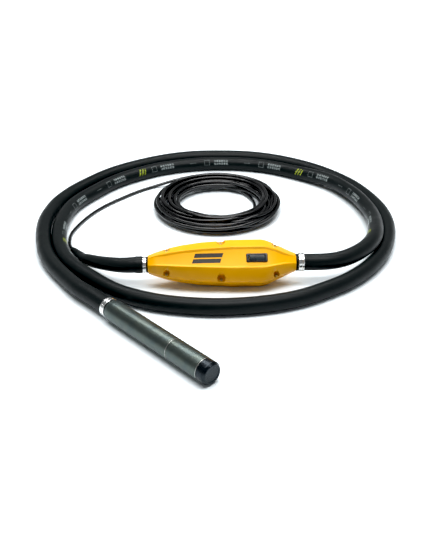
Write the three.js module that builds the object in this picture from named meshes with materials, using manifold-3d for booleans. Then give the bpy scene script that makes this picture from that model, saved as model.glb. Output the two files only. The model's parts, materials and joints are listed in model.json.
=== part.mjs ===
// Internal concrete vibrator: steel poker head, protective hose with the motor lead inside,
// faceted converter housing with a rocker switch, and a mains cable wound into a coil.
// Millimetres, +Z up. The origin is the centre of the housing's flat underside.

import * as THREE from 'three';
import { mergeVertices } from 'three/addons/utils/BufferGeometryUtils.js';
import Module from 'manifold-3d';

const wasm = await Module();
wasm.setup();

const GAP = 0.3; // clearance between neighbouring pieces

// ---------- converter housing ----------
// Sections along the housing. side: half width, top: height of the switch face above the axis,
// face: half width of the switch face, flank: half height of the upright flanks.
const SECTIONS = [
  { x: -219, side: 19, top: 20, face: 8, flank: 8 },
  { x: -205, side: 24, top: 31, face: 10.5, flank: 11 },
  { x: -174, side: 32.7, top: 39.5, face: 14.5, flank: 16 },
  { x: -147, side: 38.1, top: 43.5, face: 17.5, flank: 18.5 },
  { x: -103, side: 43.6, top: 46.8, face: 20.5, flank: 21.2 },
  { x: -58, side: 46.2, top: 47.9, face: 22.5, flank: 22.5 },
  { x: -36, side: 48.25, top: 48.25, face: 23.5, flank: 23.5 },
  { x: 36, side: 48.25, top: 48.25, face: 23.5, flank: 23.5 },
  { x: 50, side: 44.2, top: 47.4, face: 21.5, flank: 21.6 },
  { x: 66, side: 37.3, top: 43, face: 17.5, flank: 18 },
  { x: 87, side: 28.5, top: 33.5, face: 11.5, flank: 13.5 },
  { x: 100, side: 22.8, top: 26, face: 9.5, flank: 10.6 },
  { x: 111, side: 19, top: 20, face: 8, flank: 8 },
];
const WIDEST = SECTIONS[6];
const TILT = Math.PI / 4; // the housing lies rolled towards its switch side
const AXIS_Z = (WIDEST.side + WIDEST.flank) * Math.SQRT1_2;
const HOUSING_LEFT = SECTIONS[0].x;
const HOUSING_RIGHT = SECTIONS[SECTIONS.length - 1].x;
const WALL = 4;
const END_WALL = 13;
const RECESS_DEPTH = 4;
const RECESS_RIM = 4.5;
const END_BORE_R = 12.6;
const GASKET_HALF = 0.5;
const CAVITY_END = { side: 23.5, top: 27, face: 10, flank: 11 };
const RECESS_FADE = 12; // the recess fades out as the housing narrows by this much towards its ends

// ---------- shell screws ----------
const SCREW_SITES = [
  { x: -177.5, side: 27, pocket: 7, seat: 12 },
  { x: -57, side: 41.5, pocket: 9, seat: 15 },
  { x: 65, side: 33.5, pocket: 7, seat: 13 },
];
const SCREW = { shank: 2, headR: 3.6, headH: 3.2, length: 24, socketR: 1.6, socketDepth: 1.8 };
const BOSS_WALL = 2.4; // left standing round each screw pocket

// ---------- switch ----------
const SWITCH_X = 21.5;
const SWITCH_OFFSET = -1;
const BEZEL = { length: 46.5, width: 19.2, thick: 3.6, openLength: 36.4, openWidth: 12.6 };
const BEZEL_SEAT = WIDEST.top - RECESS_DEPTH - 1.2;
const ROCKER = { length: 35, width: 11.6, pivotR: 1.5, restTilt: THREE.MathUtils.degToRad(-6) };
const BEZEL_TOP = BEZEL_SEAT + GAP + BEZEL.thick;
const PIVOT_Z = BEZEL_TOP - 3;
const SWITCH_BODY = { length: 33, width: 13, depth: 20 };
const SWITCH_ROOM = 0.6; // clearance round the parts let into the housing's face
const EAR = { half: 3, drop: 2.6 };

// ---------- converter electronics ----------
const BOARD = { x0: -160, x1: -14, halfWidth: 27, level: -12, thick: 1.6 };
const BOARD_POST = { x0: -138, x1: -24, y: 20, radius: 3.2 };
const CAPACITOR = { x: -98, radius: 10.5, length: 34 };
const MODULE = { x: -46, length: 48, width: 40, height: 13 };
const TERMINAL = { x: 62, top: -12, length: 16, width: 22, height: 12 };

// ---------- hose and its fittings ----------
const HOSE_R = 19;
const HOSE_BORE_R = 12;
const LEAD_R = 4.4;
const STUB_R = 18;
const STUB_END_R = 12.5; // the stub narrows towards the cable
const STUB_BORE_R = 11;
const STUB_END_BORE_R = 5.2;
const CLAMP_WIDTH = 13;
const CLAMP_THICK = 2;
const CUFF = { width: 15, rim: 1.6, swell: 2.4 };
const NIPPLE_BORE_R = 7;
const NIPPLE_R = 10;
const STUB_NIPPLE_R = 9.8;
const FIT = 0.7; // looser clearance where a faceted hose passes through a round part
const SEAL_WIDTH = 4.6;
const COLLAR_WIDTH = 8.6;

// ---------- poker head ----------
const HEAD_X = -300.5;
const HEAD_Y = -129.7;
const HEAD_ANGLE = THREE.MathUtils.degToRad(-48.6);
const HEAD_R = 24;
const CASING_WALL = 4;
const CASING_START = 21;
const CASING_TAPER = 14; // length over which the casing widens from the clamp to its full size
const SPIGOT_R = 18.5; // where the connector screws into the casing
const JOINT_1 = 214;
const JOINT_2 = 301;
const HEAD_LENGTH = 325;
const JOINT_RING = 1.6;
const BEARING_WIDTH = 12;
const RACE_SHARE = 0.28; // share of a bearing's thickness that each race takes
const SHAFT_R = 7;
const STATOR_BORE_R = 13.6;

// ---------- mains cable, coil and plug ----------
const CABLE_R = 4.2;
const COIL = { x: -52.5, y: 396, inner: 105, outer: 171, height: 46 };
const PLUG = { x: -86, y: 310, width: 22.5, height: 21.5, length: 40 };
const PLUG_Z = PLUG.height / 2 + 0.2;
const COIL_JOIN = 112; // degrees round the coil where the cable reaches it
const RELIEF_LENGTH = 27;
const TAIL_BEND = { x: 17.7, y: 2.6, drop: 1.35 }; // first point of the tail past the relief
// The tail's way along the inside of the coil: degrees round it and height.
const TAIL_ROUTE = [[-49.4, 6.1], [-44, 4.8], [-39, 4.4], [-34, 4.4]];

// Centre line of the protective hose, from the head round the two floor loops to the housing.
const HOSE_ROUTE = [
  [-364.5, -58, 22.8], [-391, -21, 20.4], [-416, 18, 19], [-442, 62, 19],
  [-462, 106, 19], [-476, 152, 19], [-486, 200, 19], [-493, 250, 19], [-495, 300, 19],
  [-490, 348, 19], [-480, 397, 19], [-463, 442, 19], [-444, 480, 19], [-421, 516, 19],
  [-395, 552, 19], [-364, 590, 19], [-325, 626, 19], [-276, 661, 19], [-215, 695, 19],
  [-153, 718, 19], [-92, 728, 19], [-32, 728, 19], [28, 723, 19], [87, 709, 19],
  [144, 683, 19], [199, 647, 19], [250, 602, 19], [291, 552, 19], [324, 500, 19],
  [349, 442, 19], [367, 380, 19], [376, 330, 19], [378, 284, 19], [374, 234, 19],
  [364, 186, 19], [349, 140, 19], [330, 96, 19], [307, 57, 19], [281, 22, 19],
  [251, -10, 19], [216, -40, 19], [176, -66, 19], [135, -90, 19], [90, -109, 19],
  [40, -122, 19], [-20, -130, 19], [-74, -131, 19], [-134, -124, 19], [-192, -110, 19],
  [-242, -89, 19], [-285, -63, 19], [-323, -28, 19], [-358, 10, 19], [-386, 43, 19],
  [-408, 76, 19], [-426, 113, 19], [-440, 156, 19], [-449, 206, 19], [-453, 260, 19],
  [-451, 315, 19], [-443, 364, 19], [-429, 405, 19], [-406, 447, 19], [-382, 484, 19],
  [-354, 524, 19], [-326, 555, 19], [-298, 580, 19], [-264, 605, 19], [-219, 632, 19],
  [-169, 652, 19], [-114, 666, 19], [-54, 672, 19], [6, 669, 19], [61, 658, 19],
  [111, 640, 19], [156, 613, 19.5], [198, 583, 21.5], [236, 549, 25], [271, 512, 27.5],
  [298, 466, 28.5], [315, 425, 29.5], [329, 376, 31], [338, 322, 32.5], [341, 265, 35.5],
  [336, 209, 40.5], [325, 154, 46], [309, 108, 49.5], [286, 70, 50.6], [256, 38, 50.6],
  [220, 13, 50.6], [196, 4, 50.6],
];

// Centre line of the short stub hose, from the housing to its tapered end.
const STUB_ROUTE = [
  [-268, 3, 48.6], [-294, 12.5, 45], [-318.5, 29, 39.5], [-344, 53, 31.5], [-367, 80, 22.5],
];
const STUB_END = new THREE.Vector3(-385, 110, 14);
const GROMMET_END = new THREE.Vector3(-409.5, 157, 8);

// Centre line of the mains cable on the floor, from the grommet to the coil.
const CABLE_ROUTE = [
  [-418, 178, 5.6], [-422.5, 196, 4.4], [-425, 218, 4.3], [-425, 244, 4.3],
  [-421, 268, 4.3], [-413, 296, 4.3], [-402, 326, 4.3], [-387, 360, 4.3], [-366, 396, 4.3],
  [-342, 429, 4.3], [-316, 458.5, 4.3], [-290, 486.5, 4.3], [-264, 511.5, 4.3], [-237, 532, 4.6],
  [-206, 547, 8], [-173, 555.5, 14], [-143, 557.5, 19.5],
];

const steel = { color: 0xc9cccf, roughness: 0.28, metalness: 1 };
const brightSteel = { color: 0xdfe2e4, roughness: 0.18, metalness: 1 };
const darkSteel = { color: 0x59605c, roughness: 0.45, metalness: 0.9 };
const blackSteel = { color: 0x202428, roughness: 0.35, metalness: 0.8 };
const blackRubber = { color: 0x1a1c1e, roughness: 0.75, metalness: 0 };
const blackPlastic = { color: 0x15171a, roughness: 0.5, metalness: 0 };
const yellowPlastic = { color: 0xf0a80c, roughness: 0.42, metalness: 0 };
const copper = { color: 0xb87745, roughness: 0.4, metalness: 0.9 };
const laminations = { color: 0x6f7478, roughness: 0.5, metalness: 0.9 };
const boardGreen = { color: 0x1f5a35, roughness: 0.6, metalness: 0 };
const brassMetal = { color: 0xc9a24a, roughness: 0.3, metalness: 1 };

const model = new THREE.Group();
model.name = 'concrete_vibrator';

// Adds one named piece to the assembly.
function addPiece(name, geometry, look) {
  const flat = geometry.index ? geometry.toNonIndexed() : geometry;
  flat.deleteAttribute('uv');
  flat.computeVertexNormals();
  const mesh = new THREE.Mesh(flat, new THREE.MeshStandardMaterial(look));
  mesh.name = name;
  model.add(mesh);
  return mesh;
}

// ---------- solids ----------

// Turns a closed surface into a solid for cutting and joining.
function toSolid(geometry) {
  const bare = geometry.clone();
  bare.deleteAttribute('normal');
  bare.deleteAttribute('uv');
  const merged = mergeVertices(bare, 1e-4);
  return new wasm.Manifold(new wasm.Mesh({
    numProp: 3,
    vertProperties: new Float32Array(merged.attributes.position.array),
    triVerts: new Uint32Array(merged.index.array),
  }));
}

// Turns a solid back into a surface.
function toGeometry(solid) {
  const mesh = solid.getMesh();
  const geometry = new THREE.BufferGeometry();
  geometry.setAttribute('position', new THREE.BufferAttribute(new Float32Array(mesh.vertProperties), 3));
  geometry.setIndex(new THREE.BufferAttribute(new Uint32Array(mesh.triVerts), 1));
  return geometry;
}

// Solid of revolution about the X axis from a closed list of [x, radius] points.
function turned(points, segments = 24) {
  const onAxis = points[0][1] === 0 && points[points.length - 1][1] === 0;
  const profile = points.map(([x, r]) => new THREE.Vector2(r, x));
  if (!onAxis) {
    profile.push(profile[0].clone());
  }
  let area = 0;
  for (let i = 0; i < profile.length; i += 1) {
    const a = profile[i];
    const b = profile[(i + 1) % profile.length];
    area += a.x * b.y - b.x * a.y;
  }
  if (area < 0) {
    profile.reverse();
  }
  const geometry = new THREE.LatheGeometry(profile, segments);
  geometry.rotateZ(-Math.PI / 2);
  return geometry;
}

// Plain washer, sleeve or rod about the X axis.
function sleeve(x0, x1, outerR, innerR, segments = 24) {
  if (innerR === 0) {
    return turned([[x0, 0], [x0, outerR], [x1, outerR], [x1, 0]], segments);
  }
  return turned([[x0, innerR], [x0, outerR], [x1, outerR], [x1, innerR]], segments);
}

function block(x0, x1, y0, y1, z0, z1) {
  const geometry = new THREE.BoxGeometry(x1 - x0, y1 - y0, z1 - z0);
  geometry.translate((x0 + x1) / 2, (y0 + y1) / 2, (z0 + z1) / 2);
  return geometry;
}

// Block with rounded upright edges, drawn in the YZ plane and running along X.
function roundedBar(x0, x1, width, height, corner) {
  const w = width / 2;
  const h = height / 2;
  const shape = new THREE.Shape();
  shape.moveTo(-w + corner, -h);
  shape.lineTo(w - corner, -h);
  shape.absarc(w - corner, -h + corner, corner, -Math.PI / 2, 0);
  shape.lineTo(w, h - corner);
  shape.absarc(w - corner, h - corner, corner, 0, Math.PI / 2);
  shape.lineTo(-w + corner, h);
  shape.absarc(-w + corner, h - corner, corner, Math.PI / 2, Math.PI);
  shape.lineTo(-w, -h + corner);
  shape.absarc(-w + corner, -h + corner, corner, Math.PI, Math.PI * 1.5);
  const geometry = new THREE.ExtrudeGeometry(shape, {
    depth: x1 - x0, bevelEnabled: false, curveSegments: 3,
  });
  geometry.rotateY(Math.PI / 2);
  geometry.rotateX(Math.PI / 2);
  geometry.translate(x0, 0, 0);
  return geometry;
}

// Tube along a smooth route; a bore radius of zero makes it solid.
function tube(points, radius, boreRadius, steps, sides, boreSides = 8) {
  const shape = new THREE.Shape();
  for (let i = 0; i < sides; i += 1) {
    const angle = (i / sides) * Math.PI * 2;
    const x = radius * Math.cos(angle);
    const y = radius * Math.sin(angle);
    if (i === 0) {
      shape.moveTo(x, y);
    } else {
      shape.lineTo(x, y);
    }
  }
  shape.closePath();
  if (boreRadius > 0) {
    const hole = new THREE.Path();
    for (let i = 0; i < boreSides; i += 1) {
      const angle = -(i / boreSides) * Math.PI * 2;
      const x = boreRadius * Math.cos(angle);
      const y = boreRadius * Math.sin(angle);
      if (i === 0) {
        hole.moveTo(x, y);
      } else {
        hole.lineTo(x, y);
      }
    }
    hole.closePath();
    shape.holes.push(hole);
  }
  const path = new THREE.CatmullRomCurve3(points, false, 'centripetal');
  path.arcLengthDivisions = points.length * 12;
  return new THREE.ExtrudeGeometry(shape, { steps, bevelEnabled: false, extrudePath: path });
}

function toVectors(list) {
  return list.map(([x, y, z]) => new THREE.Vector3(x, y, z));
}

// ---------- placing ----------

// Housing coordinates: X along the housing, Y across it, Z out of the switch face.
function placeInHousing(geometry) {
  geometry.rotateX(TILT);
  geometry.translate(0, 0, AXIS_Z);
  return geometry;
}

function placeInHead(geometry) {
  geometry.rotateZ(HEAD_ANGLE);
  geometry.translate(HEAD_X, HEAD_Y, HEAD_R);
  return geometry;
}

function headPoint(along) {
  return new THREE.Vector3(
    HEAD_X + along * Math.cos(HEAD_ANGLE),
    HEAD_Y + along * Math.sin(HEAD_ANGLE),
    HEAD_R,
  );
}

// ---------- housing ----------

// Ring of section corners in housing coordinates, in order round the axis.
function sectionRing(s, recessed) {
  const groove = recessed
    ? [[s.face - s.rim, s.top - s.depth], [s.rim - s.face, s.top - s.depth]]
    : [];
  const corners = [
    [s.side, -s.flank], [s.side, s.flank], [s.face, s.top], ...groove, [-s.face, s.top],
    [-s.side, s.flank], [-s.side, -s.flank], [-s.flank, -s.side], [s.flank, -s.side],
  ];
  return corners.map(([y, z]) => new THREE.Vector3(s.x, y, z));
}

// Closed skin through rings that all have the same number of corners.
function loft(rings) {
  const positions = [];
  const count = rings[0].length;
  const push = (...points) => points.forEach((p) => positions.push(p.x, p.y, p.z));
  for (let k = 0; k + 1 < rings.length; k += 1) {
    for (let i = 0; i < count; i += 1) {
      const j = (i + 1) % count;
      const a = rings[k][i];
      const b = rings[k][j];
      const c = rings[k + 1][j];
      const d = rings[k + 1][i];
      push(a, b, c, a, c, d);
    }
  }
  const first = rings[0];
  const last = rings[rings.length - 1];
  const firstHub = new THREE.Vector3(first[0].x, 0, 0);
  const lastHub = new THREE.Vector3(last[0].x, 0, 0);
  for (let i = 0; i < count; i += 1) {
    const j = (i + 1) % count;
    push(firstHub, first[j], first[i]);
    push(lastHub, last[i], last[j]);
  }
  const geometry = new THREE.BufferGeometry();
  geometry.setAttribute('position', new THREE.Float32BufferAttribute(positions, 3));
  return geometry;
}

function outerSections() {
  return SECTIONS.map((s) => {
    const fade = Math.min(1, Math.max(0.02, (s.side - SECTIONS[0].side) / RECESS_FADE));
    return sectionRing({ ...s, rim: RECESS_RIM * fade, depth: RECESS_DEPTH * fade }, true);
  });
}

function cavitySections() {
  const inside = SECTIONS.filter((s) => s.x > HOUSING_LEFT + END_WALL && s.x < HOUSING_RIGHT - END_WALL);
  const leftEnd = { x: HOUSING_LEFT + END_WALL, ...CAVITY_END };
  const rightEnd = { x: HOUSING_RIGHT - END_WALL, ...CAVITY_END };
  return [leftEnd, ...inside, rightEnd].map((s) => sectionRing({
    x: s.x,
    side: s.side - WALL,
    top: s.top - WALL - RECESS_DEPTH,
    face: s.face - WALL / 2,
    flank: s.flank - WALL / 2,
  }, false));
}

// Upright cylinder in housing coordinates.
function post(x, y, radius, z0, z1, segments = 12) {
  const geometry = sleeve(z0, z1, radius, 0, segments);
  geometry.rotateY(-Math.PI / 2);
  geometry.translate(x, y, 0);
  return geometry;
}

function screwSites() {
  return SCREW_SITES.flatMap((site) => [-1, 1].map((hand) => ({ ...site, y: site.side * hand, hand })));
}

function buildHousingSolid() {
  const outer = toSolid(loft(outerSections()));
  let solid = outer.subtract(toSolid(loft(cavitySections())));
  for (const site of screwSites()) {
    const boss = toSolid(post(site.x, site.y, site.pocket + BOSS_WALL, -60, 60, 16));
    solid = solid.add(boss.intersect(outer));
  }
  for (const x of [BOARD_POST.x0, BOARD_POST.x1]) {
    for (const y of [-BOARD_POST.y, BOARD_POST.y]) {
      solid = solid.add(toSolid(post(x, y, BOARD_POST.radius, -60, BOARD.level - GAP, 10)).intersect(outer));
    }
  }
  for (const site of screwSites()) {
    solid = solid.subtract(toSolid(post(site.x, site.y, site.pocket, site.seat, 80, 16)));
    const tip = site.seat - SCREW.length - GAP;
    solid = solid.subtract(toSolid(post(site.x, site.y, SCREW.shank + GAP, tip, 80, 10)));
  }
  solid = solid.subtract(toSolid(sleeve(HOUSING_LEFT - 5, HOUSING_LEFT + 40, END_BORE_R, 0, 24)));
  solid = solid.subtract(toSolid(sleeve(HOUSING_RIGHT - 40, HOUSING_RIGHT + 5, END_BORE_R, 0, 24)));
  const y0 = SWITCH_OFFSET - BEZEL.width / 2 - GAP;
  const y1 = SWITCH_OFFSET + BEZEL.width / 2 + GAP;
  const x0 = SWITCH_X - BEZEL.length / 2 - GAP;
  const x1 = SWITCH_X + BEZEL.length / 2 + GAP;
  solid = solid.subtract(toSolid(block(x0, x1, y0, y1, BEZEL_SEAT, 80)));
  const earReach = BEZEL.width / 2 - SWITCH_ROOM;
  const earHalf = EAR.half + SWITCH_ROOM;
  solid = solid.subtract(toSolid(block(
    SWITCH_X - earHalf, SWITCH_X + earHalf, SWITCH_OFFSET - earReach, SWITCH_OFFSET + earReach,
    PIVOT_Z - EAR.drop - SWITCH_ROOM, 80,
  )));
  const halfWidth = SWITCH_BODY.width / 2 + SWITCH_ROOM;
  const halfLength = SWITCH_BODY.length / 2 + SWITCH_ROOM;
  solid = solid.subtract(toSolid(block(
    SWITCH_X - halfLength, SWITCH_X + halfLength, SWITCH_OFFSET - halfWidth, SWITCH_OFFSET + halfWidth,
    20, 80,
  )));
  return solid;
}

function addHousing() {
  const solid = buildHousingSolid();
  const lid = GASKET_HALF + GAP;
  const upper = solid.intersect(toSolid(block(-300, 300, -90, 90, lid, 90)));
  const lower = solid.intersect(toSolid(block(-300, 300, -90, 90, -90, -lid)));
  addPiece('housing_upper_shell', placeInHousing(toGeometry(upper)), yellowPlastic);
  addPiece('housing_lower_shell', placeInHousing(toGeometry(lower)), yellowPlastic);
  const near = solid.intersect(toSolid(block(-300, 300, -90, 0, -GASKET_HALF, GASKET_HALF)));
  const far = solid.intersect(toSolid(block(-300, 300, 0, 90, -GASKET_HALF, GASKET_HALF)));
  addPiece('gasket_near', placeInHousing(toGeometry(near)), blackRubber);
  addPiece('gasket_far', placeInHousing(toGeometry(far)), blackRubber);
}

function screwGeometry() {
  const { shank, headR, headH, length, socketR, socketDepth } = SCREW;
  return turned([
    [-length, 0], [-length, shank], [0, shank], [0, headR], [headH - 0.5, headR], [headH, headR - 0.5],
    [headH, socketR], [headH - socketDepth, socketR], [headH - socketDepth, 0],
  ], 10);
}

function addScrews() {
  screwSites().forEach((site) => {
    const geometry = screwGeometry();
    geometry.rotateY(-Math.PI / 2);
    geometry.translate(site.x, site.y, site.seat + GAP);
    const end = site.x < -100 ? 'left' : site.x > 0 ? 'right' : 'middle';
    const row = site.hand < 0 ? 'near' : 'far';
    addPiece(`shell_screw_${row}_${end}`, placeInHousing(geometry), steel);
  });
}

// ---------- switch ----------

function addSwitch() {
  const middle = new THREE.Vector3(SWITCH_X, SWITCH_OFFSET, 0);
  const frame = toSolid(block(
    -BEZEL.length / 2, BEZEL.length / 2, -BEZEL.width / 2, BEZEL.width / 2, BEZEL_SEAT + GAP, BEZEL_TOP,
  )).subtract(toSolid(block(
    -BEZEL.openLength / 2, BEZEL.openLength / 2, -BEZEL.openWidth / 2, BEZEL.openWidth / 2, 0, 90,
  )));
  const ears = toSolid(block(
    -EAR.half, EAR.half, -BEZEL.width / 2 + 1, BEZEL.width / 2 - 1, PIVOT_Z - EAR.drop, BEZEL_TOP - 0.2,
  ));
  const slot = toSolid(block(-40, 40, -BEZEL.openWidth / 2, BEZEL.openWidth / 2, 0, 90));
  const pinHole = sleeve(-30, 30, ROCKER.pivotR + GAP, 0, 12);
  pinHole.rotateZ(Math.PI / 2);
  pinHole.translate(0, 0, PIVOT_Z);
  const earsWithHole = frame.add(ears.subtract(slot)).subtract(toSolid(pinHole));
  const bezel = toGeometry(earsWithHole);
  bezel.translate(middle.x, middle.y, 0);
  addPiece('switch_bezel', placeInHousing(bezel), blackPlastic);

  const pin = sleeve(-BEZEL.width / 2 + 1.2, BEZEL.width / 2 - 1.2, ROCKER.pivotR, 0, 12);
  pin.rotateZ(Math.PI / 2);
  pin.translate(middle.x, middle.y, PIVOT_Z);
  addPiece('rocker_pin', placeInHousing(pin), steel);

  const half = ROCKER.length / 2;
  const outline = new THREE.Shape();
  outline.moveTo(-half + 1, -1.2);
  outline.lineTo(-5, -4.4);
  outline.lineTo(5, -4.4);
  outline.lineTo(half - 1, -1.2);
  outline.lineTo(half - 0.6, 2.6);
  outline.lineTo(half - 1.6, 3.6);
  outline.lineTo(0, 2.4);
  outline.lineTo(-half + 1.6, 3.6);
  outline.lineTo(-half + 0.6, 2.6);
  outline.closePath();
  const pad = new THREE.ExtrudeGeometry(outline, { depth: ROCKER.width, bevelEnabled: false });
  pad.rotateX(Math.PI / 2);
  pad.translate(0, ROCKER.width / 2, 0);
  const hole = sleeve(-30, 30, ROCKER.pivotR + 0.1, 0, 12);
  hole.rotateZ(Math.PI / 2);
  const rocker = toGeometry(toSolid(pad).subtract(toSolid(hole)));
  rocker.rotateY(-ROCKER.restTilt);
  rocker.translate(middle.x, middle.y, PIVOT_Z);
  addPiece('rocker', placeInHousing(rocker), blackPlastic);

  const bodyTop = BEZEL_SEAT - 4.6;
  const body = block(
    middle.x - SWITCH_BODY.length / 2, middle.x + SWITCH_BODY.length / 2,
    middle.y - SWITCH_BODY.width / 2, middle.y + SWITCH_BODY.width / 2,
    bodyTop - SWITCH_BODY.depth, bodyTop,
  );
  addPiece('switch_body', placeInHousing(body), blackPlastic);
}

// ---------- electronics ----------

function addElectronics() {
  const boardTop = BOARD.level + BOARD.thick;
  const plate = block(BOARD.x0, BOARD.x1, -BOARD.halfWidth, BOARD.halfWidth, BOARD.level, boardTop);
  addPiece('converter_board', placeInHousing(plate), boardGreen);

  const moduleGeometry = block(
    MODULE.x - MODULE.length / 2, MODULE.x + MODULE.length / 2,
    -MODULE.width / 2, MODULE.width / 2,
    boardTop + GAP, boardTop + GAP + MODULE.height,
  );
  addPiece('power_module', placeInHousing(moduleGeometry), blackPlastic);

  [-1, 1].forEach((hand, i) => {
    const can = turned([
      [-CAPACITOR.length / 2, 0], [-CAPACITOR.length / 2, CAPACITOR.radius],
      [CAPACITOR.length / 2 - 3, CAPACITOR.radius], [CAPACITOR.length / 2 - 2.2, CAPACITOR.radius - 0.8],
      [CAPACITOR.length / 2 - 1.4, CAPACITOR.radius], [CAPACITOR.length / 2, CAPACITOR.radius - 0.6],
      [CAPACITOR.length / 2, 0],
    ], 18);
    can.translate(CAPACITOR.x, hand * (CAPACITOR.radius + 1.2), boardTop + GAP + CAPACITOR.radius);
    addPiece(`bus_capacitor_${i + 1}`, placeInHousing(can), blackPlastic);
  });

  const terminal = block(
    TERMINAL.x - TERMINAL.length / 2, TERMINAL.x + TERMINAL.length / 2,
    -TERMINAL.width / 2, TERMINAL.width / 2,
    TERMINAL.top - TERMINAL.height, TERMINAL.top,
  );
  addPiece('terminal_block', placeInHousing(terminal), blackPlastic);
}

// ---------- hose ends on the housing ----------

function onHousingAxis(geometry) {
  geometry.translate(0, 0, AXIS_Z);
  return geometry;
}

// Clamp band with a small closing ear.
function clampBand(x0, width, innerR, thick) {
  const band = toSolid(sleeve(x0, x0 + width, innerR + thick, innerR, 28));
  const ear = toSolid(block(
    x0 + width * 0.2, x0 + width * 0.8, -4, 4, innerR + thick * 0.4, innerR + thick + 1.6,
  ));
  return toGeometry(band.add(ear));
}

function addHousingFittings() {
  const right = HOUSING_RIGHT;
  const hoseStart = right + GAP + SEAL_WIDTH + GAP;
  addPiece('hose_nipple', onHousingAxis(turned([
    [right - END_WALL - 6, NIPPLE_BORE_R], [right - END_WALL - 6, 16], [right - END_WALL - GAP, 16],
    [right - END_WALL - GAP, NIPPLE_R], [hoseStart + 4, NIPPLE_R], [hoseStart + 5, NIPPLE_R - 0.8],
    [hoseStart + 11, NIPPLE_R], [hoseStart + 12, NIPPLE_R - 0.8], [hoseStart + 18, NIPPLE_R - 0.4],
    [hoseStart + 19, NIPPLE_BORE_R],
  ])), steel);
  addPiece('seal_ring_right', onHousingAxis(
    sleeve(right + GAP, right + GAP + SEAL_WIDTH, HOSE_R + 0.4, END_BORE_R, 28),
  ), blackRubber);
  const clamp = clampBand(0, CLAMP_WIDTH, HOSE_R + FIT, CLAMP_THICK);
  clamp.rotateX(-2.4);
  clamp.translate(hoseStart + 0.4, 0, 0);
  addPiece('hose_clamp_housing', onHousingAxis(clamp), brightSteel);

  const left = HOUSING_LEFT;
  const collarStart = left - GAP - SEAL_WIDTH + 1.6;
  const stubStart = collarStart - GAP - COLLAR_WIDTH - GAP;
  addPiece('stub_nipple', onHousingAxis(turned([
    [left + END_WALL + 6, 6.6], [left + END_WALL + 6, 16], [left + END_WALL + GAP, 16],
    [left + END_WALL + GAP, STUB_NIPPLE_R], [stubStart - 5, STUB_NIPPLE_R],
    [stubStart - 6, STUB_NIPPLE_R - 0.8], [stubStart - 11, STUB_NIPPLE_R - 0.3],
    [stubStart - 12, 6.6],
  ])), steel);
  addPiece('seal_ring_left', onHousingAxis(
    sleeve(collarStart, left - GAP, STUB_R + 0.6, END_BORE_R, 28),
  ), blackRubber);
  addPiece('stub_collar', onHousingAxis(turned([
    [collarStart - GAP, END_BORE_R], [collarStart - GAP, STUB_R + 0.4],
    [collarStart - GAP - COLLAR_WIDTH + 1, STUB_R + 0.4], [collarStart - GAP - COLLAR_WIDTH, STUB_R - 0.6],
    [collarStart - GAP - COLLAR_WIDTH, END_BORE_R],
  ])), brightSteel);
  addPiece('stub_cuff', onHousingAxis(turned([
    [stubStart - 0.4, STUB_R + FIT], [stubStart - 0.4, STUB_R + CUFF.rim],
    [stubStart - 3, STUB_R + CUFF.swell], [stubStart - CUFF.width + 3, STUB_R + CUFF.swell],
    [stubStart - CUFF.width, STUB_R + CUFF.rim], [stubStart - CUFF.width, STUB_R + FIT],
  ])), blackRubber);
  return { hoseStart, stubStart };
}

// ---------- hoses, lead and cable ----------

function addHoses({ hoseStart, stubStart }) {
  const headEnd = headPoint(16);
  const route = [
    headEnd, headPoint(-24), headPoint(-52), ...toVectors(HOSE_ROUTE),
    new THREE.Vector3(hoseStart + 55, 0.2, AXIS_Z), new THREE.Vector3(hoseStart + 20, 0, AXIS_Z),
    new THREE.Vector3(hoseStart, 0, AXIS_Z),
  ];
  addPiece('protective_hose', tube(route, HOSE_R, HOSE_BORE_R, 80, 12, 6), blackRubber);

  const leadRoute = [
    headPoint(44), headPoint(34), ...route, new THREE.Vector3(HOUSING_RIGHT - 12, 0, AXIS_Z),
    new THREE.Vector3(HOUSING_RIGHT - 30, 0, AXIS_Z),
  ];
  addPiece('motor_lead', tube(leadRoute, LEAD_R, 0, 80, 5), blackPlastic);

  const along = GROMMET_END.clone().sub(STUB_END);
  const length = along.length();
  const step = along.clone().normalize();
  const stubRoute = [
    new THREE.Vector3(stubStart, 0, AXIS_Z), new THREE.Vector3(stubStart - 21, 0, AXIS_Z),
    ...toVectors(STUB_ROUTE), STUB_END.clone().addScaledVector(step, -12), STUB_END,
  ];
  addPiece('stub_hose', taperedHose(stubRoute), blackRubber);

  const grommet = turned([
    [FIT, CABLE_R + FIT], [FIT, STUB_END_R - 0.4], [length * 0.5, STUB_END_R - 2.6],
    [length, CABLE_R + 2.6], [length, CABLE_R + FIT],
  ], 20);
  grommet.applyQuaternion(new THREE.Quaternion().setFromUnitVectors(
    new THREE.Vector3(1, 0, 0), step,
  ));
  grommet.translate(STUB_END.x, STUB_END.y, STUB_END.z);
  addPiece('cable_grommet', grommet, blackRubber);

  const cableRoute = [
    new THREE.Vector3(HOUSING_LEFT + 34, 0, AXIS_Z), new THREE.Vector3(HOUSING_LEFT, 0, AXIS_Z),
    new THREE.Vector3(stubStart, 0, AXIS_Z), new THREE.Vector3(stubStart - 21, 0, AXIS_Z),
    ...toVectors(STUB_ROUTE), STUB_END.clone().addScaledVector(step, -12), STUB_END.clone(),
    STUB_END.clone().addScaledVector(step, length * 0.5),
    GROMMET_END.clone().addScaledVector(step, 3), ...toVectors(CABLE_ROUTE), cableEnd(),
  ];
  addPiece('power_cable', tube(cableRoute, CABLE_R, 0, 66, 8), blackRubber);
}

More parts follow.
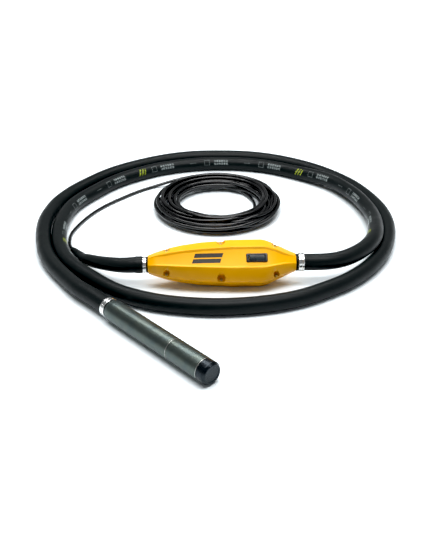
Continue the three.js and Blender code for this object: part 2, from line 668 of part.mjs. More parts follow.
// Hose that narrows along its route, bored through for the cable.
function taperedHose(points) {
  const path = new THREE.CatmullRomCurve3(points, false, 'centripetal');
  const stations = 16;
  const straight = 0.1; // the share that slips over the nipple keeps its full size
  const skin = (startR, endR, sides, overrun) => {
    const rings = [];
    for (let i = 0; i <= stations; i += 1) {
      const u = i / stations;
      const centre = path.getPointAt(u);
      const tangent = path.getTangentAt(u);
      const across = new THREE.Vector3().crossVectors(new THREE.Vector3(0, 0, 1), tangent).normalize();
      const up = new THREE.Vector3().crossVectors(tangent, across);
      const radius = THREE.MathUtils.lerp(startR, endR, Math.max(0, (u - straight) / (1 - straight)));
      if (i === 0 || i === stations) {
        centre.addScaledVector(tangent, (i === 0 ? -1 : 1) * overrun);
      }
      const ring = [];
      for (let j = 0; j < sides; j += 1) {
        const angle = (j / sides) * Math.PI * 2;
        ring.push(centre.clone()
          .addScaledVector(across, radius * Math.cos(angle))
          .addScaledVector(up, radius * Math.sin(angle)));
      }
      rings.push(ring);
    }
    return toSolid(tubeSkin(rings));
  };
  return toGeometry(skin(STUB_R, STUB_END_R, 16, 0).subtract(skin(STUB_BORE_R, STUB_END_BORE_R, 10, 1)));
}

// Closed skin through the rings of a tube.
function tubeSkin(rings) {
  const positions = [];
  const push = (...points) => points.forEach((p) => positions.push(p.x, p.y, p.z));
  const count = rings[0].length;
  for (let k = 0; k + 1 < rings.length; k += 1) {
    for (let i = 0; i < count; i += 1) {
      const j = (i + 1) % count;
      push(rings[k][i], rings[k][j], rings[k + 1][j], rings[k][i], rings[k + 1][j], rings[k + 1][i]);
    }
  }
  const last = rings[rings.length - 1];
  for (let i = 1; i + 1 < count; i += 1) {
    push(rings[0][0], rings[0][i + 1], rings[0][i], last[0], last[i], last[i + 1]);
  }
  const geometry = new THREE.BufferGeometry();
  geometry.setAttribute('position', new THREE.Float32BufferAttribute(positions, 3));
  return geometry;
}

// Point at a radius and an angle in degrees round the coil.
function coilPoint(reach, degrees, z) {
  const angle = THREE.MathUtils.degToRad(degrees);
  return new THREE.Vector3(COIL.x + reach * Math.cos(angle), COIL.y + reach * Math.sin(angle), z);
}

// Where the cable meets the coil, along its outer side.
function cableEnd() {
  const reach = COIL.outer + CABLE_R + GAP;
  return coilPoint(reach, COIL_JOIN, COIL.height / 2);
}

function addCoil() {
  const middle = (COIL.inner + COIL.outer) / 2;
  const reach = (COIL.outer - COIL.inner) / 2;
  const profile = [];
  const corners = 12;
  for (let i = 0; i < corners; i += 1) {
    const angle = ((i + 0.5) / corners) * Math.PI * 2;
    const rise = COIL.height / 2 * (1 + Math.sin(angle) / Math.sin(Math.PI * 5 / corners));
    profile.push([Math.max(0.2, rise), middle + reach * Math.cos(angle) / Math.cos(Math.PI / corners)]);
  }
  const coil = turned(profile, 40);
  coil.rotateY(-Math.PI / 2);
  coil.translate(COIL.x, COIL.y, 0);
  addPiece('cable_coil', coil, blackRubber);
}

// ---------- plug ----------

function addPlug() {
  const right = PLUG.x + PLUG.length;
  const body = roundedBar(PLUG.x, right, PLUG.width, PLUG.height, 6);
  body.translate(0, PLUG.y, PLUG_Z);
  addPiece('plug_body', body, blackRubber);

  const relief = turned([
    [0, CABLE_R + FIT], [0, 8.6], [5, 8.2], [RELIEF_LENGTH, 6], [RELIEF_LENGTH, CABLE_R + FIT],
  ], 16);
  relief.translate(right + GAP, PLUG.y, PLUG_Z);
  addPiece('plug_relief', relief, blackRubber);

  const bladeLength = 16;
  const bladeEnd = PLUG.x - GAP;
  [-1, 1].forEach((hand, i) => {
    const y = PLUG.y + hand * 6.35;
    const blade = block(bladeEnd - bladeLength, bladeEnd, y - 0.75, y + 0.75, PLUG_Z - 6, PLUG_Z + 0.3);
    addPiece(`plug_blade_${i + 1}`, blade, brassMetal);
  });
  const earth = turned([
    [bladeEnd - 19, 0], [bladeEnd - 18, 1.6], [bladeEnd - 16, 2.4], [bladeEnd, 2.4], [bladeEnd, 0],
  ], 12);
  earth.translate(0, PLUG.y, PLUG_Z + 5.2);
  addPiece('plug_earth_pin', earth, brassMetal);

  const reliefEnd = right + GAP + RELIEF_LENGTH;
  const tailReach = COIL.inner - CABLE_R - 1.2;
  const tail = [right + 2 * GAP, right + 14, reliefEnd - 2, reliefEnd + 2].map(
    (x) => new THREE.Vector3(x, PLUG.y, PLUG_Z),
  );
  tail.push(new THREE.Vector3(reliefEnd + TAIL_BEND.x, PLUG.y + TAIL_BEND.y, PLUG_Z - TAIL_BEND.drop));
  for (const [degrees, z] of TAIL_ROUTE) {
    tail.push(coilPoint(tailReach, degrees, z));
  }
  addPiece('cable_tail', tube(tail, CABLE_R, 0, 14, 8), blackRubber);
}

// ---------- poker head ----------

function addHead() {
  const inner = HEAD_R - CASING_WALL;
  const front = HEAD_LENGTH;
  const capStart = JOINT_2 + JOINT_RING + GAP;

  const clamp = clampBand(0.5, CLAMP_WIDTH, HOSE_R + FIT, CLAMP_THICK);
  clamp.rotateX(2.6);
  addPiece('hose_clamp_head', placeInHead(clamp), brightSteel);

  addPiece('head_connector', placeInHead(turned([
    [-14, NIPPLE_BORE_R], [-14, NIPPLE_R - 0.6], [-4, NIPPLE_R], [16.4, NIPPLE_R], [16.4, HEAD_R - 2.4],
    [20, HEAD_R - 1.8], [CASING_START - GAP, HEAD_R - 1.6], [CASING_START - GAP, SPIGOT_R],
    [CASING_START + 17, SPIGOT_R], [CASING_START + 17, NIPPLE_BORE_R],
  ], 28)), darkSteel);

  const taperEnd = CASING_START + CASING_TAPER;
  addPiece('motor_casing', placeInHead(turned([
    [CASING_START, SPIGOT_R + GAP], [CASING_START, HEAD_R - 1.4], [CASING_START + 3, HEAD_R - 0.8],
    [CASING_START + CASING_TAPER * 0.5, HEAD_R - 0.3], [taperEnd, HEAD_R], [JOINT_1, HEAD_R],
    [JOINT_1, inner - GAP - 1], [JOINT_1 - 12, inner - GAP - 1], [JOINT_1 - 12, inner],
    [CASING_START + 24, inner], [CASING_START + 24, SPIGOT_R + GAP],
  ], 28)), darkSteel);

  addPiece('joint_ring_rear', placeInHead(
    sleeve(JOINT_1 + GAP, JOINT_1 + GAP + JOINT_RING, HEAD_R + 0.1, inner - GAP - 1, 28),
  ), brightSteel);

  addPiece('weight_casing', placeInHead(turned([
    [JOINT_1 + JOINT_RING + 2 * GAP, inner - 1], [JOINT_1 + JOINT_RING + 2 * GAP, HEAD_R],
    [JOINT_2 - GAP, HEAD_R], [JOINT_2 - GAP, inner - 3], [JOINT_2 - 14, inner - 3],
    [JOINT_2 - 14, inner - 1],
  ], 28)), darkSteel);

  addPiece('joint_ring_front', placeInHead(
    sleeve(JOINT_2, JOINT_2 + JOINT_RING, HEAD_R + 0.1, inner - 3, 28),
  ), brightSteel);

  addPiece('tip_cap', placeInHead(turned([
    [JOINT_2 - 12, 0], [JOINT_2 - 12, inner - 3 - GAP], [capStart, inner - 3 - GAP], [capStart, HEAD_R],
    [front - 6.5, HEAD_R - 0.4], [front - 3, HEAD_R - 1.8], [front - 0.8, HEAD_R - 4.6], [front, HEAD_R - 8],
    [front, 0],
  ], 28)), blackSteel);

  addMotor(inner);
}

// Ball bearing: two races and the ball ring between them.
function addBearing(name, x, outerR, boreR) {
  const width = BEARING_WIDTH;
  const span = outerR - boreR;
  addPiece(`${name}_outer_race`, placeInHead(
    sleeve(x, x + width, outerR, outerR - span * RACE_SHARE, 28),
  ), brightSteel);
  addPiece(`${name}_inner_race`, placeInHead(
    sleeve(x, x + width, boreR + span * RACE_SHARE, boreR, 24),
  ), brightSteel);
  const middle = boreR + span / 2;
  const ballR = span * (0.5 - RACE_SHARE) - 0.12;
  const cage = toSolid(sleeve(x + 3, x + width - 3, middle + ballR * 0.35, middle - ballR * 0.35, 16));
  let ring = cage;
  const balls = 8;
  for (let i = 0; i < balls; i += 1) {
    const angle = (i / balls) * Math.PI * 2;
    const ball = new THREE.SphereGeometry(ballR, 6, 4);
    ball.translate(x + width / 2, middle * Math.cos(angle), middle * Math.sin(angle));
    ring = ring.add(toSolid(ball));
  }
  addPiece(`${name}_ball_ring`, placeInHead(toGeometry(ring)), steel);
}

function addMotor(inner) {
  const rearBearing = CASING_START + 30;
  const middleBearing = JOINT_1 - 10;
  const frontBearing = JOINT_2 - 28;

  addBearing('rear_bearing', rearBearing, inner - GAP, SHAFT_R + 0.35);
  addBearing('middle_bearing', middleBearing, inner - 2 * GAP - 1.2, SHAFT_R + 3.35);
  addBearing('front_bearing', frontBearing, inner - 1 - 2 * GAP, SHAFT_R + 1.35);

  const statorStart = rearBearing + 28;
  const statorEnd = middleBearing - 16;
  const windingBore = STATOR_BORE_R + 1;
  addPiece('stator', placeInHead(
    sleeve(statorStart, statorEnd, inner - GAP, STATOR_BORE_R, 24),
  ), laminations);
  addPiece('winding_rear', placeInHead(turned([
    [statorStart - 11, windingBore], [statorStart - 12, windingBore + 1.4], [statorStart - 10, inner - 2.5],
    [statorStart - GAP, inner - 1.9], [statorStart - GAP, windingBore],
  ], 24)), copper);
  addPiece('winding_front', placeInHead(turned([
    [statorEnd + GAP, windingBore], [statorEnd + GAP, inner - 1.9], [statorEnd + 10, inner - 2.5],
    [statorEnd + 12, windingBore + 1.4], [statorEnd + 11, windingBore],
  ], 24)), copper);
  addPiece('rotor_core', placeInHead(
    sleeve(statorStart + 1, statorEnd - 1, STATOR_BORE_R - 0.6, SHAFT_R + 2.3, 28),
  ), laminations);

  const weightStart = middleBearing + 14;
  const weightEnd = frontBearing - 2;
  addPiece('rotor_shaft', placeInHead(turned([
    [rearBearing - 3, 0], [rearBearing - 3, SHAFT_R], [rearBearing + 13, SHAFT_R],
    [rearBearing + 13, SHAFT_R + 2],
    [middleBearing - 2, SHAFT_R + 2], [middleBearing - 2, SHAFT_R + 3], [middleBearing + 12.6, SHAFT_R + 3],
    [middleBearing + 12.6, SHAFT_R + 1], [frontBearing + 13, SHAFT_R + 1], [frontBearing + 13, 0],
  ], 20)), steel);

  const weight = new THREE.Shape();
  weight.absarc(0, 0, inner - 2.2, Math.PI, Math.PI * 2, false);
  weight.lineTo(11.5, 5);
  weight.lineTo(5, 11.5);
  weight.lineTo(-5, 11.5);
  weight.lineTo(-11.5, 5);
  weight.closePath();
  const body = new THREE.ExtrudeGeometry(weight, {
    depth: weightEnd - weightStart, bevelEnabled: false, curveSegments: 12,
  });
  body.rotateX(Math.PI / 2);
  body.rotateZ(Math.PI / 2);
  body.translate(weightStart, 0, 0);
  const bore = sleeve(0, 400, SHAFT_R + 1 + 0.2, 0, 20);
  addPiece('eccentric_weight', placeInHead(toGeometry(toSolid(body).subtract(toSolid(bore)))), darkSteel);
}

addHousing();
addScrews();
addSwitch();
addElectronics();
const hoseEnds = addHousingFittings();
addHoses(hoseEnds);
addCoil();
addPlug();
addHead();

export default model;
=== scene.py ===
"""Looks of the concrete vibrator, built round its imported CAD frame. Lengths are in mm until they reach a mesh."""
import json
import math

import bmesh
import bpy
import numpy as np
from mathutils import Matrix, Vector


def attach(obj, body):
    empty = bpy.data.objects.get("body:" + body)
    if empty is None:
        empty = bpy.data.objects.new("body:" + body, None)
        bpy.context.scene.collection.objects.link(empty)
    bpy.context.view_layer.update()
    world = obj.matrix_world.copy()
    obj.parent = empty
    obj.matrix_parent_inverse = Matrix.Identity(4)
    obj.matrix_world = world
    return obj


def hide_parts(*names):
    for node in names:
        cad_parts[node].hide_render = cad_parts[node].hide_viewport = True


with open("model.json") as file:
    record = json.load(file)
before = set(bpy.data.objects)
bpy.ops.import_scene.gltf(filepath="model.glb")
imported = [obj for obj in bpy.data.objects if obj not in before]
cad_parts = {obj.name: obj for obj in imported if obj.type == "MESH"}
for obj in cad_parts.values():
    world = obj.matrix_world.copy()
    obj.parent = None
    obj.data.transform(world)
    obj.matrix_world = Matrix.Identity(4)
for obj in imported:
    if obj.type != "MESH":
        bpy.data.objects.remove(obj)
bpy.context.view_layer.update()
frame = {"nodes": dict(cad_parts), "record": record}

MM = 0.001

# ---------------------------------------------------------------- camera

CAMERA_AT = (-115.8, -1554.8, 918.0)
CAMERA_YAW = math.radians(1.91)
CAMERA_DROP = math.radians(29.5)
CAMERA_LENS = 53.3


def add_camera():
    data = bpy.data.cameras.new("camera")
    data.lens = CAMERA_LENS
    data.sensor_width = 36.0
    data.clip_start = 0.05
    data.clip_end = 100.0
    camera = bpy.data.objects.new("camera", data)
    bpy.context.collection.objects.link(camera)
    level = math.cos(CAMERA_DROP)
    forward = Vector((math.sin(CAMERA_YAW) * level, math.cos(CAMERA_YAW) * level, -math.sin(CAMERA_DROP)))
    camera.location = Vector(CAMERA_AT) * MM
    camera.rotation_euler = forward.to_track_quat("-Z", "Y").to_euler()
    bpy.context.scene.camera = camera


add_camera()

# ---------------------------------------------------------------- sizes shared with the CAD

AXIS_Z = 50.735  # height of the housing's long axis
TILT = math.radians(45)  # the housing lies rolled towards its switch side
HOUSING_LEFT = -219.0
HOUSING_RIGHT = 111.0
HOSE_R = 19.0
STUB_R = 18.0
CABLE_R = 4.25
HEAD_AT = (-300.5, -129.7, 24.0)
HEAD_ANGLE = math.radians(-48.6)
HEAD_R = 24.0
HEAD_INNER = HEAD_R - 4.0
CASING_TAPER = 14.0
JOINT_1 = 214.0
JOINT_2 = 301.0
HEAD_LENGTH = 325.0
HOSE_START = 116.2
STUB_START = -231.4
SWITCH_X = 21.5
SWITCH_SIDE = -1.0
PLUG_X = -86.0
PLUG_Y = 310.0
PLUG_Z = 10.95
COIL_AT = (-52.5, 396.0)
PRINT_PITCH = 0.169
PRINT_START = 0.1475
GREEN_START = 0.241
PRINT_TURN = 0.34
LOOP_TWIST_AT = 1.85

# ---------------------------------------------------------------- curves


def smooth_path(points, step):
    """Evenly spaced points on a natural cubic spline through the given ones."""
    pts = np.array(points, float)
    gaps = np.linalg.norm(np.diff(pts, axis=0), axis=1)
    knots = np.concatenate([[0.0], np.cumsum(gaps)])
    count = len(pts)
    system = np.eye(count)
    right = np.zeros_like(pts)
    for i in range(1, count - 1):
        before, after = gaps[i - 1], gaps[i]
        system[i, i - 1 : i + 2] = before, 2 * (before + after), after
        right[i] = 6 * ((pts[i + 1] - pts[i]) / after - (pts[i] - pts[i - 1]) / before)
    bend = np.linalg.solve(system, right)
    dense = np.linspace(0, knots[-1], count * 24)
    k = np.clip(np.searchsorted(knots, dense, side="right") - 1, 0, count - 2)
    h = gaps[k][:, None]
    a = (knots[k + 1] - dense)[:, None] / h
    b = 1 - a
    curve = a * pts[k] + b * pts[k + 1]
    curve += ((a**3 - a) * bend[k] + (b**3 - b) * bend[k + 1]) * h**2 / 6
    return even(curve, step)


def even(curve, step):
    along = path_length(curve)
    wanted = np.linspace(0, along[-1], max(2, int(round(along[-1] / step)) + 1))
    return np.stack([np.interp(wanted, along, curve[:, i]) for i in range(3)], axis=1)


def path_length(curve):
    return np.concatenate([[0.0], np.cumsum(np.linalg.norm(np.diff(curve, axis=0), axis=1))])


def in_mm(points):
    return [tuple(c / MM for c in p) for p in points]


def head_point(along, side=0.0, up=0.0):
    c, s = math.cos(HEAD_ANGLE), math.sin(HEAD_ANGLE)
    return (HEAD_AT[0] + along * c - side * s, HEAD_AT[1] + along * s + side * c, HEAD_AT[2] + up)


# ---------------------------------------------------------------- meshes


def new_object(name, verts, faces, uvs=None, sharp=None):
    """Mesh object from vertices in mm. uvs is one pair per face corner, sharp an angle in degrees."""
    mesh = bpy.data.meshes.new(name)
    mesh.from_pydata([tuple(float(c) * MM for c in v) for v in verts], [], faces)
    mesh.update()
    if uvs is not None:
        layer = mesh.uv_layers.new(name="UVMap")
        layer.data.foreach_set("uv", np.array(uvs, np.float32).ravel())
    obj = bpy.data.objects.new(name, mesh)
    bpy.context.collection.objects.link(obj)
    soften(obj, 180 if sharp is None else sharp)
    return obj


def soften(obj, angle):
    """Smooth shading, kept sharp across edges that turn by more than the angle."""
    bm = bmesh.new()
    bm.from_mesh(obj.data)
    bmesh.ops.recalc_face_normals(bm, faces=bm.faces)
    limit = math.radians(angle)
    for face in bm.faces:
        face.smooth = True
    for edge in bm.edges:
        edge.smooth = len(edge.link_faces) == 2 and edge.calc_face_angle(0) < limit
    bm.to_mesh(obj.data)
    bm.free()


def tube(name, path, radius, sides=24, radii=None):
    """Tube along a path. U runs once round from the underside, V is the distance along in metres."""
    path = np.asarray(path, float)
    count = len(path)
    tangent = np.gradient(path, axis=0)
    tangent /= np.linalg.norm(tangent, axis=1)[:, None]
    inside = np.cross(np.array([0.0, 0.0, 1.0]), tangent)
    inside /= np.linalg.norm(inside, axis=1)[:, None]
    up = np.cross(tangent, inside)
    along = path_length(path) * MM
    size = np.full(count, radius) if radii is None else np.asarray(radii, float)
    turn = np.linspace(0, 2 * math.pi, sides, endpoint=False) - math.pi / 2
    ring = np.cos(turn)[None, :, None] * inside[:, None, :] + np.sin(turn)[None, :, None] * up[:, None, :]
    verts = (path[:, None, :] + ring * size[:, None, None]).reshape(-1, 3)
    faces, uvs = [], []
    for k in range(count - 1):
        for j in range(sides):
            n = (j + 1) % sides
            faces.append((k * sides + j, k * sides + n, (k + 1) * sides + n, (k + 1) * sides + j))
            u0, u1 = j / sides, (j + 1) / sides
            uvs += [(u0, along[k]), (u1, along[k]), (u1, along[k + 1]), (u0, along[k + 1])]
    for ends, start in ((list(range(sides))[::-1], 0), (list(range(sides)), (count - 1) * sides)):
        faces.append(tuple(start + j for j in ends))
        uvs += [(0.0, 0.0)] * sides
    return new_object(name, verts, faces, uvs, 60)


def fillet(points, radius, steps=4, closed=True):
    """Rounds the corners of a polyline in a plane. radius is one number or one per corner."""
    pts = [np.array(p, float) for p in points]
    count = len(pts)
    sizes = radius if isinstance(radius, (list, tuple)) else [radius] * count
    out = []
    for i, p in enumerate(pts):
        if not closed and i in (0, count - 1):
            out.append(tuple(p))
            continue
        before, after = pts[i - 1] - p, pts[(i + 1) % count] - p
        lb, la = np.linalg.norm(before), np.linalg.norm(after)
        if sizes[i] <= 0 or lb < 1e-6 or la < 1e-6:
            out.append(tuple(p))
            continue
        before, after = before / lb, after / la
        half = math.acos(max(-1, min(1, float(before @ after)))) / 2
        cut = min(sizes[i] / max(math.tan(half), 1e-6), 0.46 * lb, 0.46 * la)
        a, b = p + before * cut, p + after * cut
        for k in range(steps + 1):
            t = k / steps
            out.append(tuple((1 - t) ** 2 * a + 2 * t * (1 - t) * p + t**2 * b))
    return out


def turned(name, profile, segments=72, rounding=0.4, steps=3, sharp=32):
    """Closed ring or solid turned about the X axis from [x, radius] corners, with rounded corners."""
    solid = abs(profile[0][1]) < 1e-9 and abs(profile[-1][1]) < 1e-9
    ring = fillet(profile, rounding, steps, closed=not solid)
    verts, rows = [], []
    for x, r in ring:
        if r < 1e-6:
            rows.append([len(verts)] * segments)
            verts.append((x, 0.0, 0.0))
            continue
        rows.append(list(range(len(verts), len(verts) + segments)))
        for j in range(segments):
            t = 2 * math.pi * j / segments
            verts.append((x, r * math.cos(t), r * math.sin(t)))
    faces = []
    pairs = list(zip(rows, rows[1:])) + ([] if solid else [(rows[-1], rows[0])])
    for first, second in pairs:
        for j in range(segments):
            n = (j + 1) % segments
            face = [first[j], first[n], second[n], second[j]]
            face = [v for i, v in enumerate(face) if v not in face[:i]]
            if len(face) > 2:
                faces.append(tuple(face))
    return new_object(name, verts, faces, None, sharp)


def box_bar(name, x0, x1, outline, inset=0.0, sharp=35):
    """Bar along X with the given outline in Y and Z, its end edges drawn in a little."""
    centre = np.mean(np.array(outline, float), axis=0)

    def ring(x, draw):
        pts = np.array(outline, float)
        away = pts - centre
        size = np.linalg.norm(away, axis=1)[:, None]
        return [(x, y, z) for y, z in centre + away * (1 - draw / np.maximum(size, 1e-6))]

    stations = [(x0, inset), (x0 + inset * 0.3, inset * 0.3), (x0 + inset, 0), (x1 - inset, 0)]
    stations += [(x1 - inset * 0.3, inset * 0.3), (x1, inset)]
    if inset <= 0:
        stations = [(x0, 0), (x1, 0)]
    return lofted(name, [ring(x, draw) for x, draw in stations], sharp)


def lofted(name, rings, sharp=35):
    count = len(rings[0])
    verts = [v for ring in rings for v in ring]
    faces = []
    for k in range(len(rings) - 1):
        for j in range(count):
            n = (j + 1) % count
            faces.append((k * count + j, k * count + n, (k + 1) * count + n, (k + 1) * count + j))
    faces.append(tuple(range(count))[::-1])
    faces.append(tuple((len(rings) - 1) * count + j for j in range(count)))
    return new_object(name, verts, faces, None, sharp)


def rounded_rect(width, height, radius, steps=5):
    w, h = width / 2, height / 2
    return fillet([(-w, -h), (w, -h), (w, h), (-w, h)], radius, steps)


def move(obj, matrix):
    obj.data.transform(matrix)
    obj.data.update()
    return obj


def shift(x, y, z):
    return Matrix.Translation(Vector((x, y, z)) * MM)


def in_housing(obj, x=0.0, y=0.0, z=0.0):
    """Places a piece given in housing coordinates: Z out of the switch face."""
    return move(obj, shift(0, 0, AXIS_Z) @ Matrix.Rotation(TILT, 4, "X") @ shift(x, y, z))


def in_head(obj, spin=0.0):
    return move(
        obj, shift(*HEAD_AT) @ Matrix.Rotation(HEAD_ANGLE, 4, "Z") @ Matrix.Rotation(spin, 4, "X")
    )


def upright(obj, x, y, z):
    """Turns a piece made along X to stand along Z at a place in housing coordinates."""
    return move(obj, shift(x, y, z) @ Matrix.Rotation(-math.pi / 2, 4, "Y"))


def cut(obj, tool, mode="DIFFERENCE"):
    """Cuts, joins or intersects with a tool, which is used up."""
    modifier = obj.modifiers.new("cut", "BOOLEAN")
    modifier.operation = mode
    modifier.solver = "EXACT"
    modifier.object = tool
    graph = bpy.context.evaluated_depsgraph_get()
    result = bpy.data.meshes.new_from_object(obj.evaluated_get(graph))
    obj.modifiers.remove(modifier)
    old = obj.data
    obj.data = result
    bpy.data.meshes.remove(old)
    bpy.data.objects.remove(tool, do_unlink=True)
    return obj


# ---------------------------------------------------------------- materials


class Shader:
    """A node material with a few short-hands for building it."""

    def __init__(self, name, base, rough, metal=0.0, specular=0.5):
        self.material = bpy.data.materials.new(name)
        self.material.use_nodes = True
        self.tree = self.material.node_tree
        self.bsdf = self.tree.nodes["Principled BSDF"]
        self.set("Base Color", (*base, 1.0))
        self.set("Roughness", rough)
        self.set("Metallic", metal)
        self.set("Specular IOR Level", specular)
        self.base, self.rough = base, rough
        self.height = None

    def set(self, socket, value):
        self.bsdf.inputs[socket].default_value = value

    def node(self, kind, **values):
        node = self.tree.nodes.new(kind)
        for key, value in values.items():
            setattr(node, key, value)
        return node

    def link(self, a, b):
        self.tree.links.new(a, b)
        return b

    def place(self, stretch=(1, 1, 1), spin=(0, 0, 0)):
        """Object coordinates in metres, stretched and turned."""
        coords = self.node("ShaderNodeTexCoord")
        mapping = self.node("ShaderNodeMapping")
        mapping.inputs["Scale"].default_value = stretch
        mapping.inputs["Rotation"].default_value = spin
        self.link(coords.outputs["Object"], mapping.inputs["Vector"])
        return mapping.outputs["Vector"]

    def uv(self):
        split = self.node("ShaderNodeSeparateXYZ")
        self.link(self.node("ShaderNodeUVMap", uv_map="UVMap").outputs["UV"], split.inputs[0])
        return split.outputs[0], split.outputs[1]

    def noise(self, scale, detail=4.0, vector=None, rough=0.5):
        node = self.node("ShaderNodeTexNoise")
        node.inputs["Scale"].default_value = scale
        node.inputs["Detail"].default_value = detail
        node.inputs["Roughness"].default_value = rough
        self.link(vector or self.place(), node.inputs["Vector"])
        return node.outputs["Fac"]

    def math(self, operation, a, b=None, c=None):
        node = self.node("ShaderNodeMath", operation=operation)
        for socket, value in zip(node.inputs, (a, b, c)):
            if value is None:
                continue
            if isinstance(value, (int, float)):
                socket.default_value = value
            else:
                self.link(value, socket)
        return node.outputs[0]

    def ramp(self, value, low, high, to_low, to_high):
        node = self.node("ShaderNodeMapRange")
        for socket, number in zip(list(node.inputs)[1:5], (low, high, to_low, to_high)):
            socket.default_value = number
        self.link(value, node.inputs[0])
        return node.outputs[0]

    def mix(self, factor, a, b):
        node = self.node("ShaderNodeMix", data_type="RGBA")
        for name, value in (("Factor", factor), ("A", a), ("B", b)):
            socket = next(s for s in node.inputs if s.name == name and (name == "Factor" or s.type == "RGBA"))
            if isinstance(value, tuple):
                socket.default_value = (*value, 1.0)
            elif isinstance(value, (int, float)):
                socket.default_value = value
            else:
                self.link(value, socket)
        return next(s for s in node.outputs if s.type == "RGBA")

    def vary_rough(self, value, low, high, spread):
        varied = self.ramp(value, low, high, self.rough - spread, self.rough + spread)
        self.link(varied, self.bsdf.inputs["Roughness"])

    def vary_colour(self, value, low, high, other):
        colour = self.mix(self.ramp(value, low, high, 0.0, 1.0), self.base, other)
        self.link(colour, self.bsdf.inputs["Base Color"])
        return colour

    def bump(self, value, strength, distance):
        node = self.node("ShaderNodeBump")
        node.inputs["Strength"].default_value = strength
        node.inputs["Distance"].default_value = distance
        self.link(value, node.inputs["Height"])
        if self.height is not None:
            self.link(self.height, node.inputs["Normal"])
        self.height = node.outputs["Normal"]
        self.link(self.height, self.bsdf.inputs["Normal"])

    def round_edges(self, radius):
        node = self.node("ShaderNodeBevel", samples=4)
        node.inputs["Radius"].default_value = radius
        self.height = node.outputs["Normal"]
        self.link(self.height, self.bsdf.inputs["Normal"])


def rubber(name, base, rough, specular, grain=900.0, dust=(0.05, 0.05, 0.05)):
    s = Shader(name, base, rough, 0.0, specular)
    s.vary_colour(s.noise(9.0, 5.0), 0.42, 0.85, dust)
    s.vary_rough(s.noise(40.0, 4.0), 0.3, 0.7, 0.07)
    s.bump(s.noise(grain, 2.0), 0.25, 0.0002)
    return s


def marks_on_hose(s):
    """Faint generic print: an open square, two rows of blocks, a fine dashed line, and every third time
    green ticks. It shows on the inner floor loop, and beyond that the hose is twisted so that it faces the floor."""
    u, v = s.uv()
    twist = s.ramp(v, LOOP_TWIST_AT, LOOP_TWIST_AT + 0.35, 0.0, -0.36)
    turned_u = s.math("SUBTRACT", u, s.math("ADD", twist, PRINT_TURN))
    across = s.math("MULTIPLY", turned_u, 2 * math.pi * HOSE_R * MM)

    def repeat(period, start):
        moved = s.math("SUBTRACT", v, start)
        whole = s.math("FLOOR", s.math("DIVIDE", moved, period))
        return s.math("SUBTRACT", moved, s.math("MULTIPLY", whole, period))

    def between(value, low, high):
        return s.math("MULTIPLY", s.math("GREATER_THAN", value, low), s.math("LESS_THAN", value, high))

    along = repeat(PRINT_PITCH, PRINT_START)
    gap = s.math("LESS_THAN", s.math("FRACT", s.math("MULTIPLY", along, 1 / 0.0074)), 0.76)
    rows = s.math("ADD", between(across, 0.0012, 0.0072), between(across, -0.0072, -0.0012))
    words = s.math("MULTIPLY", s.math("MULTIPLY", between(along, 0.0, 0.0444), gap), rows)
    dx = s.math("ABSOLUTE", s.math("SUBTRACT", along, 0.0645))
    reach = s.math("MAXIMUM", dx, s.math("ABSOLUTE", across))
    square = between(reach, 0.0068, 0.0084)
    fine = s.math("MULTIPLY", between(along, 0.098, 0.118), between(across, -0.0012, 0.0012))
    dashes = s.math("LESS_THAN", s.math("FRACT", s.math("MULTIPLY", along, 1 / 0.004)), 0.6)
    fine = s.math("MULTIPLY", fine, dashes)
    ink = s.math("MAXIMUM", words, s.math("MULTIPLY", s.math("MAXIMUM", square, fine), 0.55))
    worn = s.ramp(s.noise(300.0, 4.0), 0.36, 0.6, 0.15, 1.0)
    ink = s.math("MULTIPLY", ink, worn)
    place = repeat(PRINT_PITCH * 3, GREEN_START)
    slant = s.math("ADD", place, s.math("MULTIPLY", across, 0.4))
    tick = s.math("LESS_THAN", s.math("FRACT", s.math("MULTIPLY", slant, 1 / 0.0088)), 0.5)
    green = s.math("MULTIPLY", between(slant, 0.0, 0.0264), tick)
    green = s.math("MULTIPLY", green, between(across, -0.0095, 0.0095))
    return ink, s.math("MULTIPLY", green, worn)


def hose_material():
    s = Shader("hose_rubber", (0.0045, 0.0065, 0.0068), 0.42, 0.0, 0.13)
    base = s.mix(s.ramp(s.noise(5.0, 5.0), 0.45, 0.9, 0.0, 1.0), s.base, (0.0075, 0.0098, 0.0102))
    ink, green = marks_on_hose(s)
    base = s.mix(ink, base, (0.2, 0.23, 0.23))
    base = s.mix(green, base, (0.3, 0.36, 0.03))
    s.link(base, s.bsdf.inputs["Base Color"])
    s.vary_rough(s.noise(30.0, 4.0), 0.3, 0.7, 0.06)
    s.bump(s.noise(500.0, 3.0), 0.25, 0.0003)
    return s


